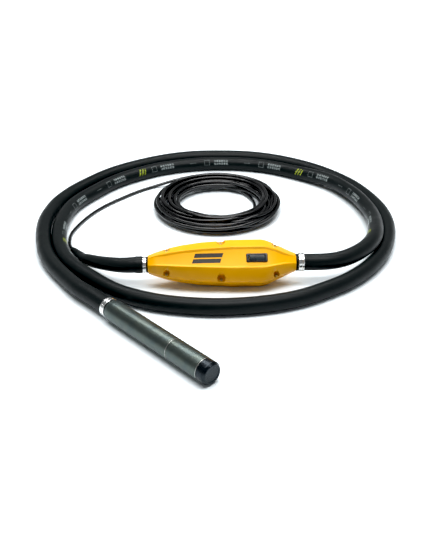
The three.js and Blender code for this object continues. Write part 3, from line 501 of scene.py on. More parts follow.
def yellow_material():
    s = Shader("housing_yellow", (0.77, 0.365, 0.001), 0.36, 0.0, 0.25)
    s.round_edges(0.0011)
    tint = s.mix(s.ramp(s.noise(14.0, 4.0), 0.35, 0.75, 0.0, 1.0), s.base, (0.73, 0.34, 0.001))
    spot = s.place((1, 1, 1), (-TILT, 0, 0))
    split = s.node("ShaderNodeSeparateXYZ")
    s.link(spot, split.inputs[0])
    x, side, out = split.outputs
    axis_side = AXIS_Z * math.sin(TILT) * MM
    axis_out = AXIS_Z * math.cos(TILT) * MM
    side = s.math("SUBTRACT", side, axis_side)
    out = s.math("SUBTRACT", out, axis_out)

    def within(value, middle, half):
        return s.math("LESS_THAN", s.math("ABSOLUTE", s.math("SUBTRACT", value, middle)), half)

    slanted = s.math("ADD", x, s.math("MULTIPLY", side, -0.35))
    upper = s.math("MULTIPLY", within(side, 0.0062, 0.0049), within(slanted, -0.0865, 0.031))
    lower = s.math("MULTIPLY", within(side, -0.0062, 0.0049), within(slanted, -0.0865, 0.031))
    bars = s.math("MULTIPLY", s.math("MAXIMUM", upper, lower), s.math("GREATER_THAN", out, 0.036))
    s.link(s.mix(bars, tint, (0.03, 0.026, 0.02)), s.bsdf.inputs["Base Color"])
    s.vary_rough(s.noise(70.0, 4.0), 0.3, 0.7, 0.05)
    s.bump(s.noise(1300.0, 2.0), 0.12, 0.0002)
    return s


def head_material(name, base, rough):
    """Dark oxidised steel: fine turning lines round it, mottled heat tint and rubbed streaks along it."""
    s = Shader(name, base, rough, 0.92, 0.5)
    turned_about = (0, 0, -HEAD_ANGLE)
    mottle = s.noise(26.0, 6.0, s.place((1.0, 2.2, 2.2), turned_about), 0.62)
    streak = s.noise(30.0, 5.0, s.place((0.35, 6.0, 6.0), turned_about), 0.6)
    warm = tuple(c * k for c, k in zip(base, (1.3, 1.2, 1.08)))
    rubbed = tuple(c * 1.25 for c in base)
    tint = s.mix(s.ramp(mottle, 0.36, 0.66, 0.0, 1.0), base, warm)
    tint = s.mix(s.ramp(streak, 0.5, 0.8, 0.0, 0.4), tint, rubbed)
    s.link(tint, s.bsdf.inputs["Base Color"])
    s.vary_rough(streak, 0.3, 0.7, 0.06)
    lines = s.noise(60.0, 3.0, s.place((60.0, 1.0, 1.0), turned_about))
    s.bump(lines, 0.015, 0.0001)
    return s


def bright_steel(name, base=(0.66, 0.67, 0.67), rough=0.24, metal=1.0):
    s = Shader(name, base, rough, metal)
    s.vary_colour(s.noise(60.0, 4.0), 0.4, 0.8, tuple(c * 0.82 for c in base))
    s.vary_rough(s.noise(240.0, 3.0), 0.3, 0.7, 0.07)
    s.bump(s.noise(90.0, 3.0, s.place((14, 1, 1))), 0.08, 0.0001)
    return s


def plastic(name, base, rough, specular=0.5, grain=1600.0):
    s = Shader(name, base, rough, 0.0, specular)
    s.vary_colour(s.noise(30.0, 4.0), 0.4, 0.8, tuple(min(1.0, c * 1.35 + 0.002) for c in base))
    s.vary_rough(s.noise(90.0, 3.0), 0.3, 0.7, 0.05)
    s.bump(s.noise(grain, 2.0), 0.15, 0.0002)
    return s


def laminated(name):
    s = Shader(name, (0.22, 0.22, 0.23), 0.42, 0.85)
    sheets = s.noise(500.0, 1.0, s.place((1, 0.02, 0.02), (0, 0, -HEAD_ANGLE)))
    s.vary_colour(sheets, 0.45, 0.55, (0.09, 0.09, 0.1))
    s.vary_rough(s.noise(80.0), 0.3, 0.7, 0.08)
    s.bump(sheets, 0.4, 0.0002)
    return s


def windings(name):
    s = Shader(name, (0.55, 0.22, 0.08), 0.3, 0.8)
    wires = s.noise(420.0, 2.0)
    s.vary_colour(wires, 0.4, 0.6, (0.2, 0.07, 0.03))
    s.vary_rough(s.noise(60.0), 0.3, 0.7, 0.06)
    s.bump(wires, 0.5, 0.0004)
    return s


def board_material(name):
    s = Shader(name, (0.012, 0.09, 0.035), 0.35)
    s.vary_colour(s.noise(120.0, 1.0, s.place((1, 3, 3))), 0.48, 0.52, (0.02, 0.15, 0.06))
    s.vary_rough(s.noise(80.0), 0.3, 0.7, 0.06)
    s.bump(s.noise(300.0, 1.0), 0.2, 0.0002)
    return s


def floor_material():
    """Pale studio floor with painted light: from 0.9 m to 2.4 m out from the object it glows up to full white by
    emission, standing in for lamp light on the far floor.
    """
    s = Shader("studio_floor", (0.82, 0.88, 0.91), 0.8, 0.0, 0.05)
    s.vary_rough(s.noise(3.0), 0.3, 0.7, 0.04)
    distance = s.node("ShaderNodeVectorMath", operation="LENGTH")
    s.link(s.place(), distance.inputs[0])
    # Painted light: the floor glows by emission, from none at 0.9 m to full at 2.4 m from the origin.
    glow = s.ramp(distance.outputs["Value"], 0.9, 2.4, 0.0, 1.0)
    s.set("Emission Color", (1.0, 1.0, 1.0, 1.0))
    s.link(glow, s.bsdf.inputs["Emission Strength"])
    return s


LOOKS = {
    "housing_yellow": yellow_material(),
    "hose_rubber": hose_material(),
    "cable_rubber": rubber("cable_rubber", (0.004, 0.0045, 0.005), 0.2, 0.45, 700.0, (0.007, 0.007, 0.007)),
    "black_rubber": rubber("black_rubber", (0.0045, 0.0065, 0.0068), 0.42, 0.13, 900.0, (0.0075, 0.0098, 0.0102)),
    "switch_plastic": plastic("switch_plastic", (0.012, 0.013, 0.015), 0.4, 0.4),
    "board": board_material("board"),
    "zinc_steel": bright_steel("zinc_steel", (0.36, 0.24, 0.07), 0.4),
    "clamp_steel": bright_steel("clamp_steel", (0.78, 0.79, 0.78), 0.2),
    "head_steel": head_material("head_steel", (0.07, 0.09, 0.088), 0.35),
    "tip_steel": head_material("tip_steel", (0.02, 0.025, 0.03), 0.28),
    "bearing_steel": bright_steel("bearing_steel", (0.72, 0.73, 0.74), 0.12),
    "laminations": laminated("laminations"),
    "copper": windings("copper"),
    "cast_weight": bright_steel("cast_weight", (0.16, 0.16, 0.16), 0.5, 0.9),
    "brass": bright_steel("brass", (0.72, 0.5, 0.2), 0.25),
}
ROCKER_LOOK = plastic("rocker_plastic", (0.014, 0.02, 0.023), 0.3, 0.25)
RING_LOOK = bright_steel("ring_steel", (0.36, 0.37, 0.35), 0.34)


def finish_piece(obj, slot, *nodes, body="vibrator", look=None):
    """Puts the look for the slot, or the look given, on a piece, attaches it to its body and hides the CAD nodes it
    stands for.
    """
    obj.data.materials.clear()
    obj.data.materials.append((look or LOOKS[slot]).material)
    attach(obj, body)
    if nodes:
        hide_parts(*nodes)
    return obj


# ---------------------------------------------------------------- protective hose

HOSE_ROUTE = [
    (-0.3645, -0.058, 0.0228), (-0.391, -0.021, 0.0204), (-0.416, 0.018, 0.019), (-0.442, 0.062, 0.019),
    (-0.462, 0.106, 0.019), (-0.476, 0.152, 0.019), (-0.486, 0.2, 0.019), (-0.493, 0.25, 0.019),
    (-0.495, 0.3, 0.019), (-0.49, 0.348, 0.019), (-0.48, 0.397, 0.019), (-0.463, 0.442, 0.019),
    (-0.444, 0.48, 0.019), (-0.421, 0.516, 0.019), (-0.395, 0.552, 0.019), (-0.364, 0.59, 0.019),
    (-0.325, 0.626, 0.019), (-0.276, 0.661, 0.019), (-0.215, 0.695, 0.019), (-0.153, 0.718, 0.019),
    (-0.092, 0.728, 0.019), (-0.032, 0.728, 0.019), (0.028, 0.723, 0.019), (0.087, 0.709, 0.019),
    (0.144, 0.683, 0.019), (0.199, 0.647, 0.019), (0.25, 0.602, 0.019), (0.291, 0.552, 0.019),
    (0.324, 0.5, 0.019), (0.349, 0.442, 0.019), (0.367, 0.38, 0.019), (0.376, 0.33, 0.019),
    (0.378, 0.284, 0.019), (0.374, 0.234, 0.019), (0.364, 0.186, 0.019), (0.349, 0.14, 0.019),
    (0.33, 0.096, 0.019), (0.307, 0.057, 0.019), (0.281, 0.022, 0.019), (0.251, -0.01, 0.019),
    (0.216, -0.04, 0.019), (0.176, -0.066, 0.019), (0.135, -0.09, 0.019), (0.09, -0.109, 0.019),
    (0.04, -0.122, 0.019), (-0.02, -0.13, 0.019), (-0.074, -0.131, 0.019), (-0.134, -0.124, 0.019),
    (-0.192, -0.11, 0.019), (-0.242, -0.089, 0.019), (-0.285, -0.063, 0.019), (-0.323, -0.028, 0.019),
    (-0.358, 0.01, 0.019), (-0.386, 0.043, 0.019), (-0.408, 0.076, 0.019), (-0.426, 0.113, 0.019),
    (-0.44, 0.156, 0.019), (-0.449, 0.206, 0.019), (-0.453, 0.26, 0.019), (-0.451, 0.315, 0.019),
    (-0.443, 0.364, 0.019), (-0.429, 0.405, 0.019), (-0.406, 0.447, 0.019), (-0.382, 0.484, 0.019),
    (-0.354, 0.524, 0.019), (-0.326, 0.555, 0.019), (-0.298, 0.58, 0.019), (-0.264, 0.605, 0.019),
    (-0.219, 0.632, 0.019), (-0.169, 0.652, 0.019), (-0.114, 0.666, 0.019), (-0.054, 0.672, 0.019),
    (0.006, 0.669, 0.019), (0.061, 0.658, 0.019), (0.111, 0.64, 0.019), (0.156, 0.613, 0.0195),
    (0.198, 0.583, 0.0215), (0.236, 0.549, 0.025), (0.271, 0.512, 0.0275), (0.298, 0.466, 0.0285),
    (0.315, 0.425, 0.0295), (0.329, 0.376, 0.031), (0.338, 0.322, 0.0325), (0.341, 0.265, 0.0355),
    (0.336, 0.209, 0.0405), (0.325, 0.154, 0.046), (0.309, 0.108, 0.0495), (0.286, 0.07, 0.0506),
    (0.256, 0.038, 0.0506), (0.22, 0.013, 0.0506), (0.196, 0.004, 0.0506),
]


def add_hose():
    route = [head_point(15.5), head_point(-24), head_point(-52)] + in_mm(HOSE_ROUTE)
    route += [(HOSE_START + 55, 0.2, AXIS_Z), (HOSE_START + 20, 0, AXIS_Z), (HOSE_START + 0.2, 0, AXIS_Z)]
    path = smooth_path(route, 6.0)[::-1]
    hose = tube("hose_visual", path, HOSE_R, 40)
    finish_piece(hose, "hose_rubber", "protective_hose")


# ---------------------------------------------------------------- stub hose and its tapered end

STUB_END = np.array([-385.0, 110.0, 14.0])
GROMMET_END = np.array([-409.5, 157.0, 8.0])
STUB_END_R = 12.5
STUB_ROUTE = [
    (-0.268, 0.003, 0.0486), (-0.294, 0.0125, 0.045), (-0.3185, 0.029, 0.0395), (-0.344, 0.053, 0.0315),
    (-0.367, 0.08, 0.0225),
]


def stub_path(step):
    """From the housing, through the stub hose, to where its tapered end begins."""
    toward = (GROMMET_END - STUB_END) / np.linalg.norm(GROMMET_END - STUB_END)
    route = [(STUB_START, 0, AXIS_Z), (STUB_START - 21, 0, AXIS_Z)] + in_mm(STUB_ROUTE)
    route += [tuple(STUB_END - 12 * toward), tuple(STUB_END)]
    return smooth_path(route, step)


def add_stub():
    path = stub_path(3.0)
    along = path_length(path)
    share = np.clip((along / along[-1] - 0.1) / 0.9, 0, 1)
    swell = STUB_R + (STUB_END_R - STUB_R) * share
    swell += 1.2 / (1 + np.exp((along - 15.5) / 0.6))
    swell -= 1.0 * np.exp(-(((along - 0.3) / 0.9) ** 2))
    stub = tube("stub_visual", path, STUB_R, 40, swell)
    finish_piece(stub, "hose_rubber", "stub_hose", "stub_cuff", look=LOOKS["black_rubber"])
    step = GROMMET_END - STUB_END
    reach = float(np.linalg.norm(step))
    profile = [(0.4, CABLE_R + 0.6), (0.4, STUB_END_R - 0.1)]
    for i in range(7):
        start = 6.0 + i * 6.2
        outer = STUB_END_R - 0.4 - 5.0 * start / reach
        profile += [(start, outer), (start, outer - 1.0), (start + 2.0, outer - 1.1), (start + 2.0, outer - 0.1)]
    profile += [(reach, CABLE_R + 2.4), (reach, CABLE_R + 0.6)]
    taper = turned("grommet_visual", profile, 56, 0.5, 3, 40)
    aim = Vector(step / reach).to_track_quat("X", "Z").to_matrix().to_4x4()
    move(taper, shift(*STUB_END) @ aim)
    finish_piece(taper, "black_rubber", "cable_grommet")
    return [stub, taper]


# ---------------------------------------------------------------- mains cable: run, coil and tail

CABLE_ROUTE = [
    (-0.418, 0.178, 0.0056), (-0.4225, 0.196, 0.0044), (-0.425, 0.218, 0.0043), (-0.425, 0.244, 0.0043),
    (-0.421, 0.268, 0.0043), (-0.413, 0.296, 0.0043), (-0.402, 0.326, 0.0043), (-0.387, 0.36, 0.0043),
    (-0.366, 0.396, 0.0043), (-0.342, 0.429, 0.0043), (-0.316, 0.4585, 0.0043), (-0.29, 0.4865, 0.0043),
    (-0.264, 0.5115, 0.0043), (-0.237, 0.532, 0.0046), (-0.206, 0.547, 0.008), (-0.173, 0.5555, 0.014),
    (-0.143, 0.5575, 0.0195),
]
# The CAD's run ends in the route's last three points. Here the cable climbs into the first turn instead.
CLIMB = [(-0.206, 0.547, 0.008), (-0.172, 0.555, 0.015)]
TAIL_R = 99.6
TAIL = ((-39, 4.4), (-44, 4.8), (-49.4, 6.1))  # degrees round the coil and height
TAIL_EASE = 18  # stations over which the last turn leaves the bundle
TURNS = 16
STATIONS = 72
COIL_START = 112.0  # degrees round the coil where the run reaches it
COIL_END = -34.0
COIL_MEAN_R = 135.6
COIL_MIDDLE_Z = 23.2
BUNDLE_REACH = 31.0  # half the bundle's width
BUNDLE_RISE = 19.0  # half its height


def wind_coil():
    """Centre line of a hand-wound coil. Each turn keeps to a place in the bundle, swaps it now and then,
    and is pushed clear of its neighbours station by station, over a fixed number of rounds."""
    rng = np.random.default_rng(11)
    total = TURNS * STATIONS + int(round((COIL_START - COIL_END) / 360 * STATIONS)) + 1
    rows = TURNS + 1
    slots = rows + 2
    order = rng.permutation(slots)
    where = []
    for i in range(slots):
        rho = math.sqrt((i + 0.5) / slots)
        phi = i * 2.39996
        where.append((36.0 * rho * math.cos(phi), BUNDLE_RISE * rho * math.sin(phi)))
    where = np.array(where)[order]
    where[0] = (28.0, 5.0)
    where[rows] = (-30.0, -16.0)
    swap = rng.integers(0, STATIONS, rows + 1)
    k = np.arange(total)
    spot = np.zeros((total, 2))
    for i in range(total):
        row, station = divmod(i, STATIONS)
        t = np.clip((station - swap[row] * 0.6) / 16.0, 0, 1)
        t = t * t * (3 - 2 * t)
        spot[i] = where[row] * (1 - t) + where[row + 1] * t
    angle = np.radians(COIL_START - k * 360.0 / STATIONS)
    wander = 2.2 * np.sin(3.1 * angle / 2 + k * 0.011) + 1.6 * np.sin(k * 0.137)
    r = spot[:, 0] + wander
    z = spot[:, 1] + 1.6 * np.sin(k * 0.093 + 1.0)
    home = np.stack([r, z], axis=1)
    gap = 2 * CABLE_R + 0.15
    pos = home.copy()
    ease = np.clip((k - (total - 1 - TAIL_EASE)) / TAIL_EASE, 0, 1)
    ease = (ease * ease * (3 - 2 * ease))[:, None]
    leave = np.array([TAIL_R - COIL_MEAN_R, TAIL[0][1] - COIL_MIDDLE_Z])
    present = np.zeros((rows, STATIONS), bool)
    present.ravel()[:total] = True
    for _ in range(420):
        grid = np.full((rows, STATIONS, 2), 1e3)
        grid.reshape(-1, 2)[:total] = pos
        grid[~present] = np.array([1e3, 1e3]) + np.arange((~present).sum())[:, None] * 50
        push = np.zeros_like(grid)
        for i in range(1, rows):
            away = grid[i:] - grid[: rows - i]
            dist = np.linalg.norm(away, axis=2)
            over = np.clip(gap - dist, 0, None) * (dist < 100)
            step = away / np.maximum(dist, 1e-3)[..., None] * over[..., None] * 0.42
            push[i:] += step
            push[: rows - i] -= step
        pos = pos + push.reshape(-1, 2)[:total]
        pos[1:-1] += 0.28 * (0.5 * (pos[:-2] + pos[2:]) - pos[1:-1])
        pos += 0.012 * (home - pos)
        size = np.sqrt((pos[:, 0] / BUNDLE_REACH) ** 2 + (pos[:, 1] / BUNDLE_RISE) ** 2)
        pos *= np.where(size > 1, 1 - 0.25 * (size - 1) / np.maximum(size, 1e-6), 1.0)[:, None]
        pos[:, 1] = np.maximum(pos[:, 1], -18.8)
        pos = pos * (1 - ease) + leave * ease
    lean = -0.22 * np.exp(-((np.degrees((angle + math.pi) % (2 * math.pi) - math.pi) / 42.0) ** 2))
    radius = COIL_MEAN_R + pos[:, 0] + lean * pos[:, 1] * (1 - ease[:, 0])
    return np.stack(
        [
            COIL_AT[0] + radius * np.cos(angle),
            COIL_AT[1] + radius * np.sin(angle) * (1.02 - 0.02 * ease[:, 0]),
            COIL_MIDDLE_Z + pos[:, 1],
        ],
        axis=1,
    )


def add_cable():
    coil = wind_coil()
    tail = []
    for degrees, z in TAIL:
        angle = math.radians(degrees)
        tail.append((COIL_AT[0] + TAIL_R * math.cos(angle), COIL_AT[1] + TAIL_R * math.sin(angle), z))
    tail += [(PLUG_X + 85, PLUG_Y + 2.6, PLUG_Z - 1.35)]
    tail += [(PLUG_X + x, PLUG_Y, PLUG_Z) for x in (69.3, 65.3, 54.0, 40.6)]
    run = list(stub_path(12.0)) + [tuple(GROMMET_END)] + in_mm(CABLE_ROUTE[:-3] + CLIMB)
    route = np.concatenate([np.array(run), coil[5:], np.array(tail)])
    path = smooth_path(route, 5.0)
    path[:, 2] = np.maximum(path[:, 2], CABLE_R + 0.05)
    cable = tube("cable_visual", path, CABLE_R, 14)
    finish_piece(cable, "cable_rubber", "power_cable", "cable_coil", "cable_tail")
    return cable, path


# ---------------------------------------------------------------- plug


def add_plug():
    outline = rounded_rect(22.5, 21.5, 6.5, 6)
    rings = []
    for x, scale in (
        (0.2, 0.94), (0.8, 0.985), (2, 1.0), (8, 1.0), (9, 0.965), (12, 0.955), (18, 0.93),
        (26, 0.9), (31, 0.88), (35, 0.84), (38, 0.76), (39.8, 0.66),
    ):
        rings.append([(PLUG_X + x, PLUG_Y + y * scale, PLUG_Z + z * scale) for y, z in outline])
    body = lofted("plug_visual", rings, 40)
    finish_piece(body, "black_rubber", "plug_body")
    start, reach = PLUG_X + 40.3, 27.0
    profile = [(0, CABLE_R + 0.4), (0, 8.4)]
    for i in range(6):
        x0 = 2.2 + i * 4.1
        r = 8.2 - i * 0.42
        profile += [(x0, r), (x0, r - 1.3), (x0 + 1.6, r - 1.3), (x0 + 1.6, r - 0.1)]
    profile += [(reach, 5.6), (reach, CABLE_R + 0.4)]
    relief = turned("relief_visual", profile, 40, 0.35, 2, 40)
    move(relief, shift(start, PLUG_Y, PLUG_Z))
    finish_piece(relief, "black_rubber", "plug_relief")
    pins = []
    for side, node in ((-6.35, "plug_blade_1"), (6.35, "plug_blade_2")):
        flat = fillet([(0, -3.1), (15.9, -3.1), (15.9, 3.1), (0, 3.1)], [0, 2.2, 2.2, 0], 4)
        faces = [[(-x, y, z) for x, z in flat] for y in (-0.74, 0.74)]
        blade = lofted(node + "_visual", faces, 40)
        hole = turned("hole", [(-5, 0), (-5, 1.55), (5, 1.55), (5, 0)], 24, 0)
        move(hole, shift(-12.2, 0, 0) @ Matrix.Rotation(math.pi / 2, 4, "Z"))
        cut(blade, hole)
        soften(blade, 35)
        move(blade, shift(PLUG_X - 0.3, PLUG_Y + side, PLUG_Z - 2.85))
        pins.append(finish_piece(blade, "brass", node))
    pin = turned("earth_visual", [(-19, 0), (-19, 1.2), (-16.5, 2.35), (0, 2.35), (0, 0)], 32, 0.6, 3)
    move(pin, shift(PLUG_X - 0.3, PLUG_Y, PLUG_Z + 5.2))
    pins.append(finish_piece(pin, "brass", "plug_earth_pin"))
    return [body, relief] + pins


# ---------------------------------------------------------------- housing

# Sections along the housing: x, half width, switch face height, half width of that face, half height of the flanks.
SECTIONS = np.array([
    (-219, 19, 20, 8, 8), (-205, 24, 31, 10.5, 11), (-174, 32.7, 39.5, 14.5, 16), (-147, 38.1, 43.5, 17.5, 18.5),
    (-103, 43.6, 46.8, 20.5, 21.2), (-58, 46.2, 47.9, 22.5, 22.5), (-36, 48.25, 48.25, 23.5, 23.5),
    (36, 48.25, 48.25, 23.5, 23.5), (50, 44.2, 47.4, 21.5, 21.6), (66, 37.3, 43, 17.5, 18),
    (87, 28.5, 33.5, 11.5, 13.5), (100, 22.8, 26, 9.5, 10.6), (111, 19, 20, 8, 8),
], float)
SCREWS = [(-177.5, 27, 7, 12), (-57, 41.5, 9, 15), (65, 33.5, 7, 13)]  # x, side, pocket radius, seat height
BEZEL_SEAT = 43.05


def section(x, spread=5.0):
    """The section at x, with the table's corners eased over a short stretch."""
    values = np.zeros(4)
    weights = 0.0
    for offset in (-1, -0.5, 0, 0.5, 1):
        at = min(max(x + offset * spread, HOUSING_LEFT), HOUSING_RIGHT)
        weight = 1.0 - 0.35 * abs(offset)
        values += weight * np.array([np.interp(at, SECTIONS[:, 0], SECTIONS[:, i]) for i in range(1, 5)])
        weights += weight
    return values / weights


def housing_ring(x, inset=0.0):
    side, top, face, flank = section(x) - inset * np.array([1, 1, 0.5, 0.5])
    fade = min(1.0, max(0.03, (side - 19) / 12))
    rim, depth = 4.5 * fade, 4.0 * fade
    corners = [
        (side, -flank), (side, flank), (face, top), (face - rim, top - depth), (rim - face, top - depth),
        (-face, top), (-side, flank), (-side, -flank), (-flank, -side), (flank, -side),
    ]
    sizes = [3.2, 3.2, 1.7, 1.6, 1.6, 1.7, 3.2, 3.2, 3.2, 3.2]
    return [(x, y, z) for y, z in fillet(corners, sizes, 4)]


def cavity_ring(x, side, top, face, flank):
    corners = [
        (side, -flank), (side, flank), (face, top), (-face, top), (-side, flank), (-side, -flank),
        (-flank, -side), (flank, -side),
    ]
    return [(x, y, z) for y, z in corners]


def housing_stations():
    inner = list(np.arange(HOUSING_LEFT + 4, HOUSING_RIGHT - 2, 3.0))
    return (
        [(HOUSING_LEFT, 1.5), (HOUSING_LEFT + 0.5, 0.7), (HOUSING_LEFT + 1.6, 0.0)]
        + [(x, 0.0) for x in inner]
        + [(HOUSING_RIGHT - 1.6, 0.0), (HOUSING_RIGHT - 0.5, 0.7), (HOUSING_RIGHT, 1.5)]
    )


def pillar(name, x, y, radius, z0, z1, segments=40):
    return upright(turned(name, [(z0, 0), (z0, radius), (z1, radius), (z1, 0)], segments, 0), x, y, 0)


def slab(name, x0, x1, y0, y1, z0, z1):
    return lofted(name, [[(x, y0, z0), (x, y1, z0), (x, y1, z1), (x, y0, z1)] for x in (x0, x1)])


def screw_places():
    return [(x, hand * side, pocket, seat) for x, side, pocket, seat in SCREWS for hand in (-1, 1)]


def add_housing():
    skin = lofted("housing_skin", [housing_ring(x, inset) for x, inset in housing_stations()], 60)
    rows = [r for r in SECTIONS if HOUSING_LEFT + 13 < r[0] < HOUSING_RIGHT - 13]
    rings = [cavity_ring(HOUSING_LEFT + 13, 19.5, 19, 8, 9)]
    rings += [cavity_ring(r[0], r[1] - 4, r[2] - 8, r[3] - 2, r[4] - 2) for r in rows]
    rings += [cavity_ring(HOUSING_RIGHT - 13, 19.5, 19, 8, 9)]
    hollow = lofted("hollow", rings)
    for x, y, pocket, _ in screw_places():
        cut(hollow, pillar("boss", x, y, pocket + 2.4, -70, 70))
    cut(skin, hollow)
    for x, y, pocket, seat in screw_places():
        cut(skin, pillar("pocket", x, y, pocket, seat, 80))
    for x0, x1 in ((HOUSING_LEFT - 5, HOUSING_LEFT + 40), (HOUSING_RIGHT - 40, HOUSING_RIGHT + 5)):
        cut(skin, turned("bore", [(x0, 0), (x0, 12.6), (x1, 12.6), (x1, 0)], 48, 0))
    opening = fillet([(-23.6, -9.95), (23.6, -9.95), (23.6, 9.95), (-23.6, 9.95)], 3.2, 4)
    seat = lofted("seat", [[(x + SWITCH_X, y + SWITCH_SIDE, z) for x, y in opening] for z in (BEZEL_SEAT, 80)])
    cut(skin, seat)
    well = slab("well", SWITCH_X - 17.1, SWITCH_X + 17.1, SWITCH_SIDE - 7.1, SWITCH_SIDE + 7.1, 20, 80)
    cut(skin, well)
    ears = slab("ears", SWITCH_X - 3.6, SWITCH_X + 3.6, SWITCH_SIDE - 9, SWITCH_SIDE + 9, 40.75, 80)
    cut(skin, ears)
    lower = bpy.data.objects.new("housing_lower_visual", skin.data.copy())
    bpy.context.collection.objects.link(lower)
    skin.name = "housing_upper_visual"
    cut(skin, slab("half", -300, 300, -90, 90, 0.8, 90), "INTERSECT")
    cut(lower, slab("half", -300, 300, -90, 90, -90, -0.8), "INTERSECT")
    for shell, node in ((skin, "housing_upper_shell"), (lower, "housing_lower_shell")):
        soften(shell, 38)
        finish_piece(in_housing(shell), "housing_yellow", node)
    add_screws()
    add_switch()


def add_screws():
    for x, y, _, seat in screw_places():
        end = "left" if x < -100 else "right" if x > 0 else "middle"
        node = f"shell_screw_{'near' if y < 0 else 'far'}_{end}"
        profile = [(-24, 0), (-24, 2), (0, 2), (0, 3.6), (3.2, 3.6), (3.2, 1.75), (1.2, 1.65), (1.2, 0)]
        screw = turned(node + "_visual", profile, 36, 0.35, 3)
        upright(screw, x, y, seat + 0.3)
        finish_piece(in_housing(screw), "zinc_steel", node)


def add_switch():
    top = BEZEL_SEAT + 3.9
    pivot = top - 3.0
    rings = []
    for z, grow in ((BEZEL_SEAT + 0.3, 0.0), (top - 1.4, 0.0), (top - 0.5, -0.4), (top, -1.3)):
        outer = fillet(
            [(-23.25 - grow, -9.6 - grow), (23.25 + grow, -9.6 - grow), (23.25 + grow, 9.6 + grow),
             (-23.25 - grow, 9.6 + grow)], 3.0, 5)
        rings.append([(x, y, z) for x, y in outer])
    bezel = lofted("bezel_visual", rings, 40)
    window = fillet([(-18.4, -6.5), (18.4, -6.5), (18.4, 6.5), (-18.4, 6.5)], 1.6, 4)
    ledge = BEZEL_SEAT + 0.6
    flare = [[(x * along, y * across, z) for x, y in window] for z, along, across in
             ((0, 0.965, 1), (ledge, 0.965, 1), (ledge + 0.05, 1, 1), (top - 0.9, 1, 1),
              (top + 0.1, 1.03, 1.07), (90, 1.03, 1.07))]
    cut(bezel, lofted("window", flare))
    soften(bezel, 35)
    in_housing(bezel, SWITCH_X, SWITCH_SIDE, 0)
    finish_piece(bezel, "switch_plastic", "switch_bezel")

    half = 17.6
    outline = fillet(
        [(-half + 1.6, -1.2), (-5, -4.3), (5, -4.3), (half - 1.6, -1.2), (half, 2.6), (half - 0.9, 3.7),
         (0, 2.5), (-half + 0.9, 3.7), (-half, 2.6)],
        [0.4, 1, 1, 0.4, 0.5, 0.8, 12, 0.8, 0.5], 5)
    stations = [(-6.05, 0.86), (-5.75, 0.95), (-5.15, 1.0), (5.15, 1.0), (5.75, 0.95), (6.05, 0.86)]
    rings = [[(x * (0.97 + 0.03 * k), y, z * k) for x, z in outline] for y, k in stations]
    rocker = lofted("rocker_visual", rings, 40)
    bore = turned("bore", [(-30, 0), (-30, 1.65), (30, 1.65), (30, 0)], 24, 0)
    move(bore, Matrix.Rotation(math.pi / 2, 4, "Z"))
    cut(rocker, bore)
    soften(rocker, 40)
    move(rocker, Matrix.Rotation(math.radians(6), 4, "Y"))
    in_housing(rocker, SWITCH_X, SWITCH_SIDE, pivot)
    finish_piece(rocker, "switch_plastic", "rocker", body="rocker_body", look=ROCKER_LOOK)


# ---------------------------------------------------------------- rings, collars and clamps


def on_axis(obj, spin=0.0):
    return move(obj, shift(0, 0, AXIS_Z) @ Matrix.Rotation(spin, 4, "X"))


def clamp(name, x0, width, inner):
    """Band clamp: rolled edges, a flat band between them and a pinched ear."""
    out = inner + 1.3
    profile = [
        (x0, inner), (x0, out + 0.5), (x0 + 0.8, out + 1.1), (x0 + 3.4, out + 1.1), (x0 + 4.3, out),
        (x0 + width - 4.3, out), (x0 + width - 3.4, out + 1.1), (x0 + width - 0.8, out + 1.1),
        (x0 + width, out + 0.5), (x0 + width, inner),
    ]
    band = turned(name, profile, 96, 0.35, 3)
    ear_outline = [(y, z + out + 0.6) for y, z in rounded_rect(7.5, 3.2, 1.1, 4)]
    ear = box_bar("ear", x0 + 2.8, x0 + width - 2.8, ear_outline, 0.5)
    cut(band, ear, "UNION")
    soften(band, 32)
    return band


def add_fittings():
    seal = turned("seal_right_visual", [
        (111.3, 12.7), (111.3, 18.6), (112.2, 19.3), (115.0, 19.3), (115.9, 18.9), (115.9, 12.7)], 96, 0.4)
    finish_piece(on_axis(seal), "black_rubber", "seal_ring_right")
    band = clamp("clamp_right_visual", 116.8, 12.6, HOSE_R + 0.1)
    finish_piece(on_axis(band, -2.4), "clamp_steel", "hose_clamp_housing")
    seal = turned("seal_left_visual", [(-222.2, 12.7), (-222.2, 18.4), (-219.4, 18.4), (-219.4, 12.7)], 96, 0.5)
    finish_piece(on_axis(seal), "black_rubber", "seal_ring_left")
    collar = turned("collar_visual", [
        (-231.1, 12.7), (-231.1, 17.6), (-230.0, 18.5), (-223.6, 18.5), (-222.7, 17.8), (-222.7, 12.7)], 96, 0.5)
    finish_piece(on_axis(collar), "clamp_steel", "stub_collar")


# ---------------------------------------------------------------- poker head


